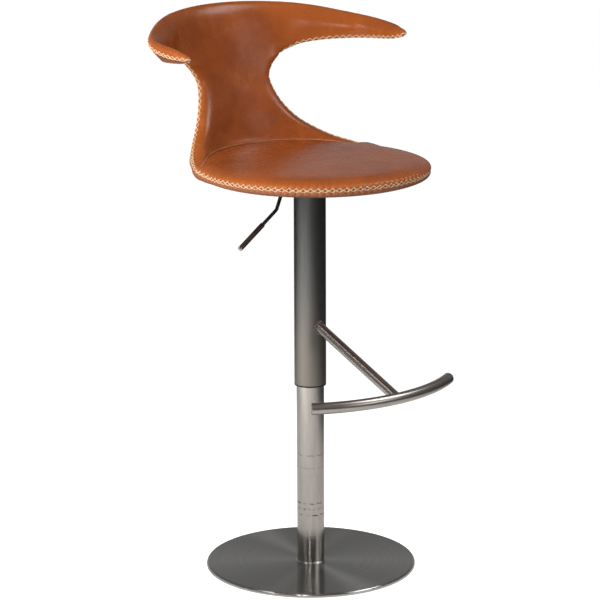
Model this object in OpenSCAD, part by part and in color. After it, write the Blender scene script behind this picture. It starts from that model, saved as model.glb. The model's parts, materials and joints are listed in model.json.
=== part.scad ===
// Adjustable bar stool with a wrap-around leather back, a swivelling gas lift and a curved footrest.
// Millimetres, +Z up. The origin lies on the floor, on the axis of the column. The sitter faces -Y.
// The lift is drawn raised by the distance named below, the seat facing forward.

/* [Base] */
// Outer diameter of the base, over its rolled edge
base_d = 415; // [360:1:460]
// Height of the base above the floor
base_h = 8.4; // [7.5:0.1:14]
// Thickness of the brushed sheet that covers the base
sheet_t = 1.2; // [0.8:0.1:2]
// Radius of the rolled edge of the base
edge_r = 4; // [2:0.5:6]
// Thickness of the rubber pad under the base
pad_t = 1.6; // [1:0.1:3]
// How far the rubber pad stands inside the edge of the base
pad_inset = 5; // [2:0.5:12]

/* [Column] */
// Outer diameter of the column tube
column_d = 54; // [48:0.5:58]
// Wall of the column tube
column_wall = 2; // [1.5:0.1:2.5]
// Height of the top of the column tube above the floor
column_top_h = 500; // [440:1:520]
// Outer diameter of the cover tube that slides over the column
cover_d = 62.4; // [60:0.1:70]
// Wall of the cover tube
cover_wall = 2; // [1.5:0.1:2.2]
// Height of the lower end of the cover tube when the lift is fully down
cover_low_h = 174; // [150:1:190]
// How far the lift is raised above its lowest position
raised = 200; // [150:1:205]

/* [Gas spring] */
// Outer diameter of the pressure tube
spring_d = 28; // [26:0.5:30]
// Wall of the pressure tube
spring_wall = 2; // [1.5:0.1:2.5]
// Diameter of the piston rod
rod_d = 10; // [8:0.5:12]
// Full stroke of the gas spring
stroke = 216; // [216:1:230]
// Diameter of the release pin at the top of the gas spring
pin_d = 6; // [4:0.5:7]

/* [Footrest] */
// Diameter of the footrest bar
bar_d = 22; // [18:0.5:26]
// Wall of the footrest bar
bar_wall = 1.5; // [1:0.1:2.5]
// Reach of the middle of the footrest bar in front of the column axis
bar_reach = 262; // [220:1:290]
// Radius that the footrest bar is bent to
bar_bend_r = 332; // [280:1:400]
// Half the angle that the footrest bar spans about its own centre
bar_half_angle = 30.6; // [22:0.1:34]
// Height of the footrest bar above the lower end of the cover tube
bar_rise = 24; // [10:1:60]
// Diameter of the footrest arm
arm_d = 20; // [16:0.5:24]
// Height of the root of the footrest arm above the footrest bar
arm_rise = 93; // [60:1:120]

/* [Seat] */
// Diameter of the seat at its stitched rim
seat_d = 442; // [400:1:480]
// Height of the stitched rim of the seat when the lift is fully down
rim_low_h = 604; // [600:1:612]
// How far the centre of the seat stands in front of the column axis
seat_fwd = 16; // [0:1:30]
// Height of the seat's top above its stitched rim
seat_crown = 13; // [8:0.5:24]
// Depth of the under-cover below the stitched rim
seat_depth = 18.5; // [16:0.5:26]
// Thickness of the leather of the covers
leather_t = 2.4; // [1.6:0.1:3]

/* [Back] */
// Height of the top of the back above the stitched rim of the seat
back_h = 289; // [250:1:320]
// Width of the neck of the back at its narrowest
waist_w = 176; // [150:1:220]
// Thickness of the padded back
back_t = 26; // [22:0.5:32]
// Angle that the back leans outwards from upright
back_lean = 15; // [10:0.5:20]
// Angle from the middle of the back to the tip of each arm, seen from above
arm_sweep = 82.9; // [78:0.1:88]
// Angle from the middle of the back to the corner between the neck and an arm
corner_sweep = 24.2; // [22:0.1:27]

/* [Lever] */
// Diameter of the rod of the lift lever
lever_d = 7; // [5:0.5:9]
// Diameter of the grip sleeve of the lift lever
grip_d = 10; // [8:0.5:14]
// Length of the grip sleeve
grip_len = 66; // [40:1:80]

/* [Hidden] */
$fn = 96;

// One overrun serves all cuts. A running fit has its own clearance all round.
overrun = 1;
run_gap = 0.06;
seat_gap = 0.3;
fine_fn = 24;

// Heights that follow the lift
rim_h = rim_low_h + raised;
under_h = rim_h - seat_depth;
cover_low = cover_low_h + raised;
plate_t = 3;
plate_w = 150;
plate_bolt = 110;
plate_corner = 12;
housing_h = 20;
housing_w = 46;
housing_front = 44;
housing_back = 56;
housing_t = 2.5;
collar_t = 6;
housing_top = under_h - plate_t;
housing_low = housing_top - housing_h;
cover_top = housing_low - collar_t;

// Radii of the column parts
column_r = column_d / 2;
column_in = column_r - column_wall;
cover_r = cover_d / 2;
cover_in = cover_r - cover_wall;
spring_r = spring_d / 2;
spring_in = spring_r - spring_wall;
rod_r = rod_d / 2;
pin_r = pin_d / 2;

// Base parts
base_r = base_d / 2;
weight_top = base_h - sheet_t;
weight_r = base_r - edge_r - sheet_t;
weight_bore = 12;
foot_t = 8;
foot_bore = 4.6;
foot_screw_r = 3;
foot_screw_head = 6;
foot_screw_head_t = 3;
foot_screw_len = 12;
foot_screw_circle = 18;
foot_screws = 3;
ring_t = 1.6;
ring_w = 1.6;

// Bearing and rod end parts
race_t = 2;
race_r = 12;
ball_r = 2;
ball_count = 10;
ball_circle = 9;
bump_h = 12;
bump_r = 11;
rod_end_r = foot_bore - run_gap;
groove_r = 3.4;
clip_t = 1.2;
clip_r = 8;
washer_t = 0.8;
washer_r = 9;
rod_tail = 1.2;
foot_top = weight_top + foot_t;
race_top = foot_top + race_t + 2 * ball_r;
bump_top = race_top + race_t + bump_h;
clip_top = weight_top - seat_gap;

// Gas spring parts. The tube comes down on the bump stop, and the piston meets the seal at full stroke.
seal_h = 10;
piston_h = 14;
top_wall = 5;
taper_len = 26;
taper_drop = 1;
socket_r = 20;
tube_low = bump_top + raised;
lever_h = housing_low + 11.5;
tongue_t = 3;
pin_touch = 0.2;
pin_proud = 5.3;
pin_top = lever_h - tongue_t / 2 - pin_touch;
spring_top = pin_top - pin_proud;
tube_top = spring_top - taper_len;
seal_top = tube_low + seal_h;
piston_low = bump_top + stroke + seal_h;
pin_head_r = 5;
pin_head_t = 2;
pin_low = spring_top - top_wall - seat_gap;

// Guide parts
bush_h = 38;
bush_lip = 4;
glide_h = 30;
glide_lip = 3;

// Footrest parts
bar_r = bar_d / 2;
arm_r = arm_d / 2;
bar_h = cover_low + bar_rise;
cap_t = 2;
weld_w = 2.4;
weld_t = 3;
arm_tilt = atan2(arm_rise, bar_reach - cover_r);
arm_start_h = bar_h + arm_rise + tan(arm_tilt) * cover_r;
arm_length = bar_reach / cos(arm_tilt);
weld_start = cover_r / cos(arm_tilt) - arm_r;
weld_len = arm_r + weld_t + arm_r * tan(arm_tilt);

// Seat fixings
seat_screw_r = 3;
seat_screw_len = 11;
screw_top = under_h + seat_screw_len;
seat_screw_head = 5.6;
seat_screw_head_t = 3.2;
seat_washer_r = 7;
seat_washer_t = 1.2;
screw_clear = 0.3;
collar_screw_r = 2;
collar_screw_len = 8;
collar_screw_circle = 25.5;
collar_screw_count = 4;

// Lift lever. It leaves its housing, turns down and then runs out to its grip.
lever_r = lever_d / 2;
lever_inner = 6;
lever_pivot_x = -35;
pivot_r = 2.5;
pivot_boss_r = 5;
tongue_w = 12;
lever_exit = 64;
lever_drop_x = 82;
lever_drop = 43;
lever_grip_x = 115;
lever_grip_drop = 67;
tip_len = 5;
lever_path = [[-lever_exit, lever_h], [-lever_drop_x, lever_h - lever_drop],
    [-lever_grip_x, lever_h - lever_grip_drop]];
grip_dir = atan2(lever_grip_drop - lever_drop, lever_grip_x - lever_drop_x);
lever_bend = 10;
drop_turn = atan2(lever_drop, lever_drop_x - lever_exit);
grip_turn = grip_dir - drop_turn;
function heading(angle) = [cos(180 + angle), sin(180 + angle)];
drop_cut = lever_bend * tan(drop_turn / 2);
grip_cut = lever_bend * tan(-grip_turn / 2);
bend_in = lever_path[0] - drop_cut * heading(0);
grip_in = lever_path[1] - grip_cut * heading(drop_turn);

// The shell of seat and back is turned about an upright axis through the centre of the seat.
seat_r = seat_d / 2;
wall_base_h = 21;
wall_base_out = 16;
wall_base_r = seat_r + wall_base_out;
waist_half = waist_w / 2;
half_back_t = back_t / 2;
// The stitched edge of the neck stands out of the middle of the wall, less so towards the arms.
seam_out = 9;
seam_out_low = 62;
seam_out_high = 176;
roll_front = 28;
roll_top = 24;
roll_low = 11;
fillet_h = 15;
fillet_in = 6.7;
// Near the seat the rolled edge of the neck widens into a broad sweep.
foot_roll = 70;
foot_roll_h = 25;
foot_soft_share = 0.6;
outer_top = 26;
under_flat_r = seat_r - 16;
arm_seam_rise = 1.4;
dip = 1.6;

// Tables of shares. Heights are shares of the back's height, widths are shares of half the waist.
neck_height_shares = [0.000, 0.038, 0.078, 0.142, 0.211, 0.280, 0.349, 0.419, 0.488, 0.557, 0.630];
neck_width_shares = [2.52, 2.32, 2.02, 1.69, 1.42, 1.24, 1.115, 1.03, 1.00, 1.09, 1.36];
// Rows of the neck: height of the row's ends, of its front and of its outer face, all over the rim
row_end_shares = [0.024, 0.046, 0.077, 0.125, 0.201, 0.298, 0.395, 0.488, 0.568, 0.630];
row_front_shares = [0.052, 0.094, 0.143, 0.200, 0.266, 0.342, 0.417, 0.494, 0.562, 0.616];
row_outer_shares = [-0.012, 0.040, 0.090, 0.160, 0.230, 0.315, 0.402, 0.488, 0.560, 0.616];
column_shares = [0, 0.27, 0.52, 0.72, 0.86, 0.95, 1];
// Columns along an arm, from the corner with the neck to the tip
arm_column_shares = [0, 0.05, 0.11, 0.18, 0.27, 0.37, 0.47, 0.57, 0.67, 0.76, 0.84, 0.905, 0.95, 0.982];
// Lower edge, top edge, outer seam, thickness and plan radius of an arm, along these stations
arm_station_shares = [0, 0.055, 0.12, 0.27, 0.45, 0.61, 0.745, 0.87, 0.94, 0.98, 1];
arm_low_shares = [0.630, 0.664, 0.692, 0.719, 0.732, 0.739, 0.746, 0.757, 0.765, 0.778, 0.796];
arm_top_shares = [0.982, 0.979, 0.972, 0.951, 0.914, 0.886, 0.869, 0.854, 0.841, 0.826, 0.800];
arm_seam_shares = [0.945, 0.942, 0.932, 0.910, 0.878, 0.840, 0.811, 0.795, 0.792, 0.793, 0.798];
arm_thick_shares = [1, 1, 1, 1.02, 1.02, 1.00, 0.94, 0.86, 0.78, 0.62, 0.25];
arm_plan_shares = [1, 1, 1.000, 1.004, 1.020, 1.030, 0.985, 0.938, 0.918, 0.909, 0.904];
arm_edge_share = 0.6;
outer_slant_share = 0.12;
front_row_shares = [0, 0.07, 0.22, 0.5, 0.78, 0.93, 1];
over_row_shares = [0.5, 1];
// Rings of the seat: radius and rise of the top, radius and fall of the underside
ring_shares = [1, 1.012, 1.004, 0.98, 0.94, 0.86, 0.6];
rise_shares = [0, 0.27, 0.55, 0.80, 0.93, 0.99, 1];
low_ring_shares = [1, 1.006, 0.994, 0.966, 0.928, 0.86, 0.6];
inner_ring_shares = [1, 0.991, 0.98, 0.96, 0.925, 0.86, 0.6];
fall_shares = [0, 0.33, 0.66, 0.90, 1, 1, 1];
// Split of the shell's thickness: cover, then core, then padding
cover_share = leather_t / back_t;
core_share = 0.38;
rim_steps = 23;

// Curves through a few hand-placed points
function clamp(x, a, b) = min(max(x, a), b);
function mix(a, b, t) = a + (b - a) * t;
function find(xs, x, i = 0) = (i >= len(xs) - 2 || x < xs[i + 1]) ? i : find(xs, x, i + 1);
function slope(xs, ys, i) =
    let(a = max(i - 1, 0), b = min(i + 1, len(xs) - 1)) (ys[b] - ys[a]) / (xs[b] - xs[a]);
function curve(xs, ys, x) =
    let(i = find(xs, x), w = xs[i + 1] - xs[i], t = clamp((x - xs[i]) / w, 0, 1), u = 1 - t)
    ys[i] * (1 + 2 * t) * u * u + ys[i + 1] * (3 - 2 * t) * t * t
    + slope(xs, ys, i) * w * t * u * u - slope(xs, ys, i + 1) * w * t * t * u;
// Quarter round: 0 at the edge, 1 from the full depth on
function round_in(x) = sqrt(max(0, 1 - pow(1 - clamp(x, 0, 1), 2)));

// 0 below the range and 1 above it, with no corner
function ease(x) = let(e = clamp(x, 0, 1)) e * e * (3 - 2 * e);

// Stitched edge of the wall: radius at a height over the rim, and how far both faces stand from it
function wall_r(h) = wall_base_r + tan(back_lean) * (h - wall_base_h);
function shift_in(h) = seam_out * (1 - ease((h - seam_out_low) / (seam_out_high - seam_out_low)));
foot_h = row_front_shares[0] * back_h;
foot_end_h = row_end_shares[0] * back_h;
function front_in(h) = half_back_t + shift_in(h) + fillet_in * exp(-(h - foot_h) / fillet_h);
function outer_out(h) = half_back_t - shift_in(h);
function at(sweep, r, h) = [r * sin(sweep), r * cos(sweep) - seat_fwd, rim_h + h];
// Below the wall the outer face turns under the seat in a quarter of an ellipse.
outer_top_r = wall_r(outer_top) + outer_out(outer_top);
turn_h = outer_top + seat_depth;
turn_r = outer_top_r - under_flat_r;
function quarter(x) = sqrt(max(0, 1 - pow(clamp(x, 0, 1), 2)));
function turned_r(h) = under_flat_r + turn_r * quarter((outer_top - h) / turn_h);
function turned_h(r) = outer_top - turn_h * quarter((r - under_flat_r) / turn_r);

// Outline of the neck: the angle of its stitched edge at a height
seam_sweep = 65;
function neck_half(h) = waist_half * curve(neck_height_shares, neck_width_shares, h / back_h);
function neck_sweep(h) = asin(clamp(neck_half(h) / wall_r(h), -1, 1));

// Arms: every value at a sweep angle from the middle of the back
function arm_t(sweep) = clamp((abs(sweep) - corner_sweep) / (arm_sweep - corner_sweep), 0, 1);
function arm_value(shares, sweep) = curve(arm_station_shares, shares, arm_t(sweep));
function top_h(sweep) = abs(sweep) <= corner_sweep
    ? back_h * (1 - (1 - arm_top_shares[0]) * pow(sweep / corner_sweep, 2))
    : back_h * arm_value(arm_top_shares, sweep);
function seam_h(sweep) = abs(sweep) <= corner_sweep
    ? top_h(sweep) - back_h * (arm_top_shares[0] - arm_seam_shares[0])
    : back_h * arm_value(arm_seam_shares, sweep);
function low_h(sweep) = back_h * arm_value(arm_low_shares, sweep);
function plan_r(sweep, h) = wall_r(h) * arm_value(arm_plan_shares, sweep);
function half_t(sweep) = half_back_t * arm_value(arm_thick_shares, sweep);

// Neck points: rows go up from the seat, columns go across from one stitched edge to the other.
nj = len(row_end_shares) - 1;
nc = len(column_shares) - 1;
function side_share(c) = (c < nc ? -1 : 1) * column_shares[abs(c - nc)];
function row_sweep(j) = j == 0 ? seam_sweep : j == nj ? corner_sweep : neck_sweep(row_end_shares[j] * back_h);
function row_edge(j) = row_sweep(j) * PI / 180 * wall_r(row_end_shares[j] * back_h);
// The seam between seat and back runs along the foot of the wall and turns out to the rim at its ends.
function foot_r(s) = mix(wall_r(foot_h) - front_in(foot_h), wall_r(foot_end_h), pow(abs(s), 8));
function foot_near(h) = exp(-(h - foot_end_h) / foot_roll_h);
function sweep_in(h, d) =
    let(near = foot_near(h)) pow(round_in(d / (roll_front + foot_roll * near)), 1 + foot_soft_share * near);
function neck_r(h, d, front) =
    front ? wall_r(h) - front_in(h) * sweep_in(h, d)
    : h < outer_top ? mix(wall_r(h), turned_r(h), round_in(d / roll_front))
    : wall_r(h) + outer_out(h) * round_in(d / roll_front);
function neck_point(j, c, front) =
    let(s = side_share(c), far = 1 - pow(abs(s), j == 0 ? 7 : 3), d = (1 - abs(s)) * row_edge(j),
        h = back_h * mix(row_end_shares[j], front ? row_front_shares[j] : row_outer_shares[j], far))
    at(row_sweep(j) * s, abs(s) == 1 ? wall_r(h) : j == 0 && front ? foot_r(s) : neck_r(h, d, front), h);

// Band points: the top of the back over the neck, and both arms
na = len(arm_column_shares) - 1;
nf = len(front_row_shares) - 1;
nr = nf + len(over_row_shares);
nb = 2 * (na + nc);
mid = na + nc;
function side(c) = c < mid ? -1 : 1;
function band_sweep(c) =
    let(k = abs(c - mid))
    side(c) * (k <= nc ? corner_sweep * column_shares[k]
        : mix(corner_sweep, arm_sweep, arm_column_shares[k - nc]));
function in_neck(c) = abs(c - mid) <= nc;
// Distance from a point to the lower edge: to the corner while over the neck, upwards along an arm
function low_distance(sweep, h) =
    abs(sweep) < corner_sweep
    ? norm([(corner_sweep - abs(sweep)) * PI / 180 * wall_r(h), h - row_end_shares[nj] * back_h])
    : h - low_h(sweep);
function low_roll(sweep) = mix(roll_front, roll_low, ease(arm_t(sweep) * 3));
function top_roll(sweep) = min(roll_top, (top_h(sweep) - low_h(sweep)) * 0.62);
function over_top(sweep, h) = round_in((top_h(sweep) - h) / top_roll(sweep));
// The lower seam of an arm lies on its inner side.
function edge_in(sweep) = arm_edge_share * half_t(sweep) * ease(arm_t(sweep) * 3.5);
function band_in(sweep, h) = over_top(sweep, h)
    * mix(edge_in(sweep), half_t(sweep), round_in(low_distance(sweep, h) / low_roll(sweep)));
function band_out(sweep, h) = half_t(sweep) * over_top(sweep, h);
function slant(t) = outer_slant_share + (1 - outer_slant_share) * (1 - pow(1 - t, 1.4));
function band_low(c) =
    in_neck(c) ? back_h * mix(row_end_shares[nj], row_front_shares[nj], 1 - pow(abs(side_share(c - na)), 3))
    : low_h(band_sweep(c)) + arm_seam_rise * clamp(arm_t(band_sweep(c)) * 5, 0, 1);
function front_point(c, k) =
    let(s = band_sweep(c), h = mix(band_low(c), top_h(s), front_row_shares[k]))
    at(s, plan_r(s, h) - band_in(s, h), h);
function over_point(c, k) =
    let(s = band_sweep(c), h = mix(top_h(s), seam_h(s), over_row_shares[k]))
    at(s, plan_r(s, h) + band_out(s, h), h);
function outer_point(c, k) =
    let(s = band_sweep(c), neck = in_neck(c), t = neck ? k / nr : (k - 1) / (nr - 1),
        h = mix(neck ? band_low(c) : low_h(s), seam_h(s), t),
        plain = band_out(s, h) * round_in(low_distance(s, h) / roll_front),
        slanted = mix(-edge_in(s), band_out(s, seam_h(s)), slant(t)))
    at(s, plan_r(s, h) + mix(plain, slanted, ease(arm_t(s) * 5)), h);
function band_point(c, k, front) =
    k == 0 && in_neck(c) ? neck_point(nj, c - na, front)
    : k == nr ? over_point(c, len(over_row_shares) - 1)
    : front ? (k <= nf ? front_point(c, k) : over_point(c, k - nf - 1))
    : k == 0 ? front_point(c, 0)
    : outer_point(c, k);
function tip_point(side) = at(side * arm_sweep, plan_r(arm_sweep, low_h(arm_sweep)), low_h(arm_sweep));

// A layer of the shell lies between two shares of its thickness, 0 outside and 1 at the front.
neck_count = nj * (2 * nc + 1);
tip_left = neck_count + (nr + 1) * (nb + 1);
tip_right = tip_left + 1;
back_count = tip_right + 1;
function back_points(t) = concat(
    [for (j = [0:nj - 1]) for (c = [0:2 * nc]) mix(neck_point(j, c, false), neck_point(j, c, true), t)],
    [for (k = [0:nr]) for (c = [0:nb]) mix(band_point(c, k, false), band_point(c, k, true), t)],
    [tip_point(-1), tip_point(1)]);
function neck_id(j, c) = j < nj ? j * (2 * nc + 1) + c : neck_count + na + c;
function band_id(k, c) = neck_count + k * (nb + 1) + c;
// Points on the stitched edge belong to both faces of a layer.
function on_back_edge(i) =
    i >= tip_left ? true
    : i < neck_count ? i % (2 * nc + 1) == 0 || i % (2 * nc + 1) == 2 * nc
    : let(k = floor((i - neck_count) / (nb + 1)), c = (i - neck_count) % (nb + 1))
      k == nr || (k == 0 && abs(c - mid) >= nc);
function back_id(i) = on_back_edge(i) ? i : i + back_count;
function quad(a, b, c, d, left) = left ? [[a, b, d], [b, c, d]] : [[a, b, c], [a, c, d]];
function flat(list) = [for (part = list) for (item = part) item];
function distinct(face) = face[0] != face[1] && face[1] != face[2] && face[0] != face[2];
function turned(faces) = [for (face = faces) [face[0], face[2], face[1]]];
back_face = flat(concat(
    [for (j = [0:nj - 1]) for (c = [0:2 * nc - 1])
        quad(neck_id(j, c), neck_id(j, c + 1), neck_id(j + 1, c + 1), neck_id(j + 1, c), c < nc)],
    [for (k = [0:nr - 1]) for (c = [0:nb - 1])
        quad(band_id(k, c), band_id(k, c + 1), band_id(k + 1, c + 1), band_id(k + 1, c), c >= mid)],
    [for (k = [0:nr - 1]) [[tip_left, band_id(k, 0), band_id(k + 1, 0)],
        [tip_right, band_id(k + 1, nb), band_id(k, nb)]]]));
back_foot = flat([for (c = [0:2 * nc - 1])
    quad(neck_id(0, c), back_id(neck_id(0, c)), back_id(neck_id(0, c + 1)), neck_id(0, c + 1), false)]);
module back_layer(outer, inner) {
    rear = [for (face = turned(back_face)) [back_id(face[0]), back_id(face[1]), back_id(face[2])]];
    polyhedron(points = concat(back_points(inner), back_points(outer)),
        faces = [for (face = turned(concat(back_face, rear, back_foot))) if (distinct(face)) face]);
}

// Seat: rings about the centre of the seat. The rear of its outline is the foot of the back.
rim_turn = 15;
loop_rear = 2 * nc + 1;
loop_count = loop_rear + rim_steps - 1;
rings = len(ring_shares);
function rim_point(i) =
    let(s = mix(seam_sweep, 360 - seam_sweep, i / rim_steps),
        w = ease((abs(s - 180) - 180 + seam_sweep + rim_turn) / rim_turn))
    at(s, mix(seat_r, wall_r(foot_end_h), w), foot_end_h * w);
function loop_point(i, front) = i < loop_rear ? neck_point(0, i, front) : rim_point(i - loop_rear + 1);
// 1 on the free rim of the seat, 0 along the foot of the back
function rim_share(i) = i < loop_rear ? pow(abs(side_share(i)), 6) : 1;
// The outermost faces bulge past the rim's seam, the faces between the layers stay inside it.
function seat_point(i, ring, front, skin) =
    let(p = loop_point(i, front), w = rim_share(i), inner = inner_ring_shares[ring],
        free = !skin ? inner : front ? ring_shares[ring] : low_ring_shares[ring],
        f = mix(inner, free, w), centre = [0, -seat_fwd],
        m = centre + ([p[0], p[1]] - centre) * f, r = norm(m - centre), edge = p[2] - rim_h,
        top = mix(mix(seat_crown, edge, pow(f, 4)), mix(edge, seat_crown, rise_shares[ring]), w)
            + dip * (1 - pow(inner, 2)),
        low = mix(turned_h(r), mix(edge, -seat_depth, fall_shares[ring]), w))
    ring == 0 ? p : [m[0], m[1], rim_h + (front ? top : low)];
function seat_layer_points(t) = concat(
    [for (ring = [0:rings - 1]) for (i = [0:loop_count - 1])
        mix(seat_point(i, ring, false, t == 0), seat_point(i, ring, true, t == 1), t)],
    [[0, -seat_fwd, rim_h + mix(-seat_depth, seat_crown + dip, t)]]);
seat_count = rings * loop_count + 1;
function on_rim(i) = i < loop_count && (i == 0 || i >= loop_rear - 1);
function seat_id(i) = on_rim(i) ? i : i + seat_count;
function ring_id(ring, i) = ring * loop_count + i % loop_count;
seat_face = flat(concat(
    [for (ring = [0:rings - 2]) for (i = [0:loop_count - 1])
        quad(ring_id(ring, i), ring_id(ring, i + 1), ring_id(ring + 1, i + 1), ring_id(ring + 1, i), false)],
    [for (i = [0:loop_count - 1])
        [[ring_id(rings - 1, i), ring_id(rings - 1, i + 1), seat_count - 1]]]));
seat_foot = flat([for (i = [0:loop_rear - 2]) quad(i, seat_id(i), seat_id(i + 1), i + 1, false)]);
module seat_layer(outer, inner) {
    rear = [for (face = turned(seat_face)) [seat_id(face[0]), seat_id(face[1]), seat_id(face[2])]];
    polyhedron(points = concat(seat_layer_points(inner), seat_layer_points(outer)),
        faces = [for (face = concat(seat_face, rear, seat_foot)) if (distinct(face)) face]);
}

// Copies on a circle and at the corners of the seat plate
module around(count, r) {
    for (i = [0:count - 1]) rotate([0, 0, i * 360 / count]) translate([r, 0, 0]) children();
}
module at_bolts() {
    for (x = [-1, 1]) for (y = [-1, 1]) translate([x * plate_bolt / 2, y * plate_bolt / 2, 0]) children();
}
module disc(r, z0, z1) { translate([0, 0, z0]) cylinder(r = r, h = z1 - z0); }
module ring(r_out, r_in, z0, z1) {
    difference() {
        disc(r_out, z0, z1);
        disc(r_in, z0 - overrun, z1 + overrun);
    }
}

// Base
module floor_pad() { color("#20201f") disc(base_r - pad_inset, 0, pad_t); }
module base_weight() {
    color("#4a4a4c") difference() {
        ring(weight_r, weight_bore, pad_t, weight_top);
        around(foot_screws, foot_screw_circle) disc(foot_screw_r + screw_clear, -overrun, base_h + overrun);
        around(foot_screws, foot_screw_circle)
            disc(foot_screw_head + screw_clear, -overrun, pad_t + foot_screw_head_t);
    }
}
module base_cover() {
    color("#a9a8a5") rotate_extrude($fn = 180) difference() {
        union() {
            square([base_r - edge_r, base_h]);
            translate([base_r - edge_r, base_h - edge_r]) intersection() {
                circle(r = edge_r);
                square([edge_r, edge_r]);
            }
            translate([0, pad_t]) square([base_r, base_h - edge_r - pad_t]);
        }
        square([weight_r, weight_top]);
        square([base_r - sheet_t, base_h - edge_r - sheet_t]);
        square([base_r + overrun, pad_t]);
        square([column_r, base_h + overrun]);
    }
}
module column_tube() { color("#c4c1ba") ring(column_r, column_in, weight_top, column_top_h); }
module column_foot() {
    color("#7c7c7c") difference() {
        ring(column_in, foot_bore, weight_top, foot_top);
        around(foot_screws, foot_screw_circle) disc(foot_screw_r, 0, foot_top + overrun);
    }
}
module foot_ring() { color("#d0cec8") ring(column_r + ring_w, column_r, base_h, base_h + ring_t); }
module base_screws() {
    color("#8a8a8a") around(foot_screws, foot_screw_circle) {
        disc(foot_screw_head, pad_t, pad_t + foot_screw_head_t);
        disc(foot_screw_r, pad_t, pad_t + foot_screw_len);
    }
}

// Swivel bearing
module lower_race() { color("#9a9a9a") ring(race_r, foot_bore, foot_top, foot_top + race_t); }
module bearing_balls() {
    color("#d8d8d8") around(ball_count, ball_circle)
        translate([0, 0, foot_top + race_t + ball_r]) sphere(r = ball_r, $fn = fine_fn);
}
module upper_race() { color("#9a9a9a") ring(race_r, rod_end_r, race_top, race_top + race_t); }
module bump_stop() { color("#1c1c1c") ring(bump_r, rod_r, race_top + race_t, bump_top - seat_gap); }
module column_bush() {
    color("#1b1b1c") difference() {
        union() {
            disc(column_in, column_top_h - bush_h, column_top_h);
            disc(cover_in - run_gap, column_top_h, column_top_h + bush_lip);
        }
        disc(spring_r + run_gap, column_top_h - bush_h - overrun, column_top_h + bush_lip + overrun);
    }
}

// Gas spring
module piston_rod() {
    color("#dcdcda") difference() {
        union() {
            disc(rod_r, race_top + race_t, piston_low + piston_h);
            disc(rod_end_r, clip_top - washer_t - clip_t - rod_tail, race_top + race_t);
        }
        ring(rod_r + overrun, groove_r, clip_top - washer_t - clip_t, clip_top - washer_t);
    }
}
module piston() { color("#8b8b8b") ring(spring_in - run_gap, rod_r, piston_low, piston_low + piston_h); }
module rod_washer() { color("#b0b0b0") ring(washer_r, rod_end_r, clip_top - washer_t, clip_top); }
module rod_clip() {
    color("#6d6d6d") ring(clip_r, groove_r, clip_top - washer_t - clip_t, clip_top - washer_t);
}
module taper() {
    translate([0, 0, tube_top]) cylinder(r1 = spring_r, r2 = spring_r - taper_drop, h = taper_len);
}
module pressure_tube() {
    color("#2b2b2d") difference() {
        union() {
            disc(spring_r, tube_low, tube_top);
            taper();
        }
        disc(spring_in - taper_drop, tube_low, spring_top - top_wall);
        disc(spring_in, tube_low - overrun, tube_top);
        disc(pin_r + run_gap, tube_top, spring_top + overrun);
    }
}
module rod_seal() { color("#141414") ring(spring_in, rod_r + run_gap, tube_low, seal_top); }
module taper_socket() {
    color("#5a5a5c") difference() {
        disc(socket_r, tube_top, housing_low + housing_t);
        taper();
    }
}
module release_pin() {
    color("#c9a24a") {
        disc(pin_r, pin_low, pin_top);
        disc(pin_head_r, pin_low - pin_head_t, pin_low);
    }
}

// Cover tube and what is fixed to it
module cover_tube() { color("#4c4d4f") ring(cover_r, cover_in, cover_low, cover_top); }
module cover_end_ring() {
    color("#111111") difference() {
        union() {
            disc(cover_r, cover_low - glide_lip, cover_low);
            disc(cover_in, cover_low, cover_low + glide_h);
        }
        disc(column_r + run_gap, cover_low - glide_lip - overrun, cover_low + glide_h + overrun);
    }
}
module at_collar() { rotate([0, 0, 45]) around(collar_screw_count, collar_screw_circle) children(); }
module cover_collar() {
    color("#5c5c5e") difference() {
        ring(cover_r, socket_r, cover_top, housing_low);
        at_collar() disc(collar_screw_r, cover_top - overrun, housing_low + overrun);
    }
}
module collar_screws() {
    color("#9c9c9c") at_collar()
        disc(collar_screw_r, housing_low + housing_t - collar_screw_len, housing_low + housing_t);
}
module along_arm() { translate([0, 0, arm_start_h]) rotate([90 + arm_tilt, 0, 0]) children(); }
module bar_sweep(r) {
    translate([0, bar_bend_r - bar_reach, bar_h]) rotate([0, 0, -90 - bar_half_angle])
        rotate_extrude(angle = 2 * bar_half_angle) translate([bar_bend_r, 0]) circle(r = r);
}
module footrest_arm() {
    color("#b9b8b5") difference() {
        along_arm() cylinder(r = arm_r, h = arm_length);
        disc(cover_r, cover_low, cover_top);
        bar_sweep(bar_r);
    }
}
module arm_weld() {
    color("#77736c") difference() {
        along_arm() translate([0, 0, weld_start]) cylinder(r = arm_r + weld_w, h = weld_len);
        along_arm() cylinder(r = arm_r, h = arm_length);
        disc(cover_r, cover_low, cover_top);
    }
}
module footrest_bar() {
    color("#bdbcb8") difference() {
        bar_sweep(bar_r);
        bar_sweep(bar_r - bar_wall);
    }
}
module bar_end_caps() {
    color("#b4b3b0") for (side = [-1, 1])
        translate([0, bar_bend_r - bar_reach, bar_h]) rotate([0, 0, -90 + side * bar_half_angle])
            translate([bar_bend_r, 0, 0]) rotate([-side * 90, 0, 0]) cylinder(r = bar_r, h = cap_t);
}

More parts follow.
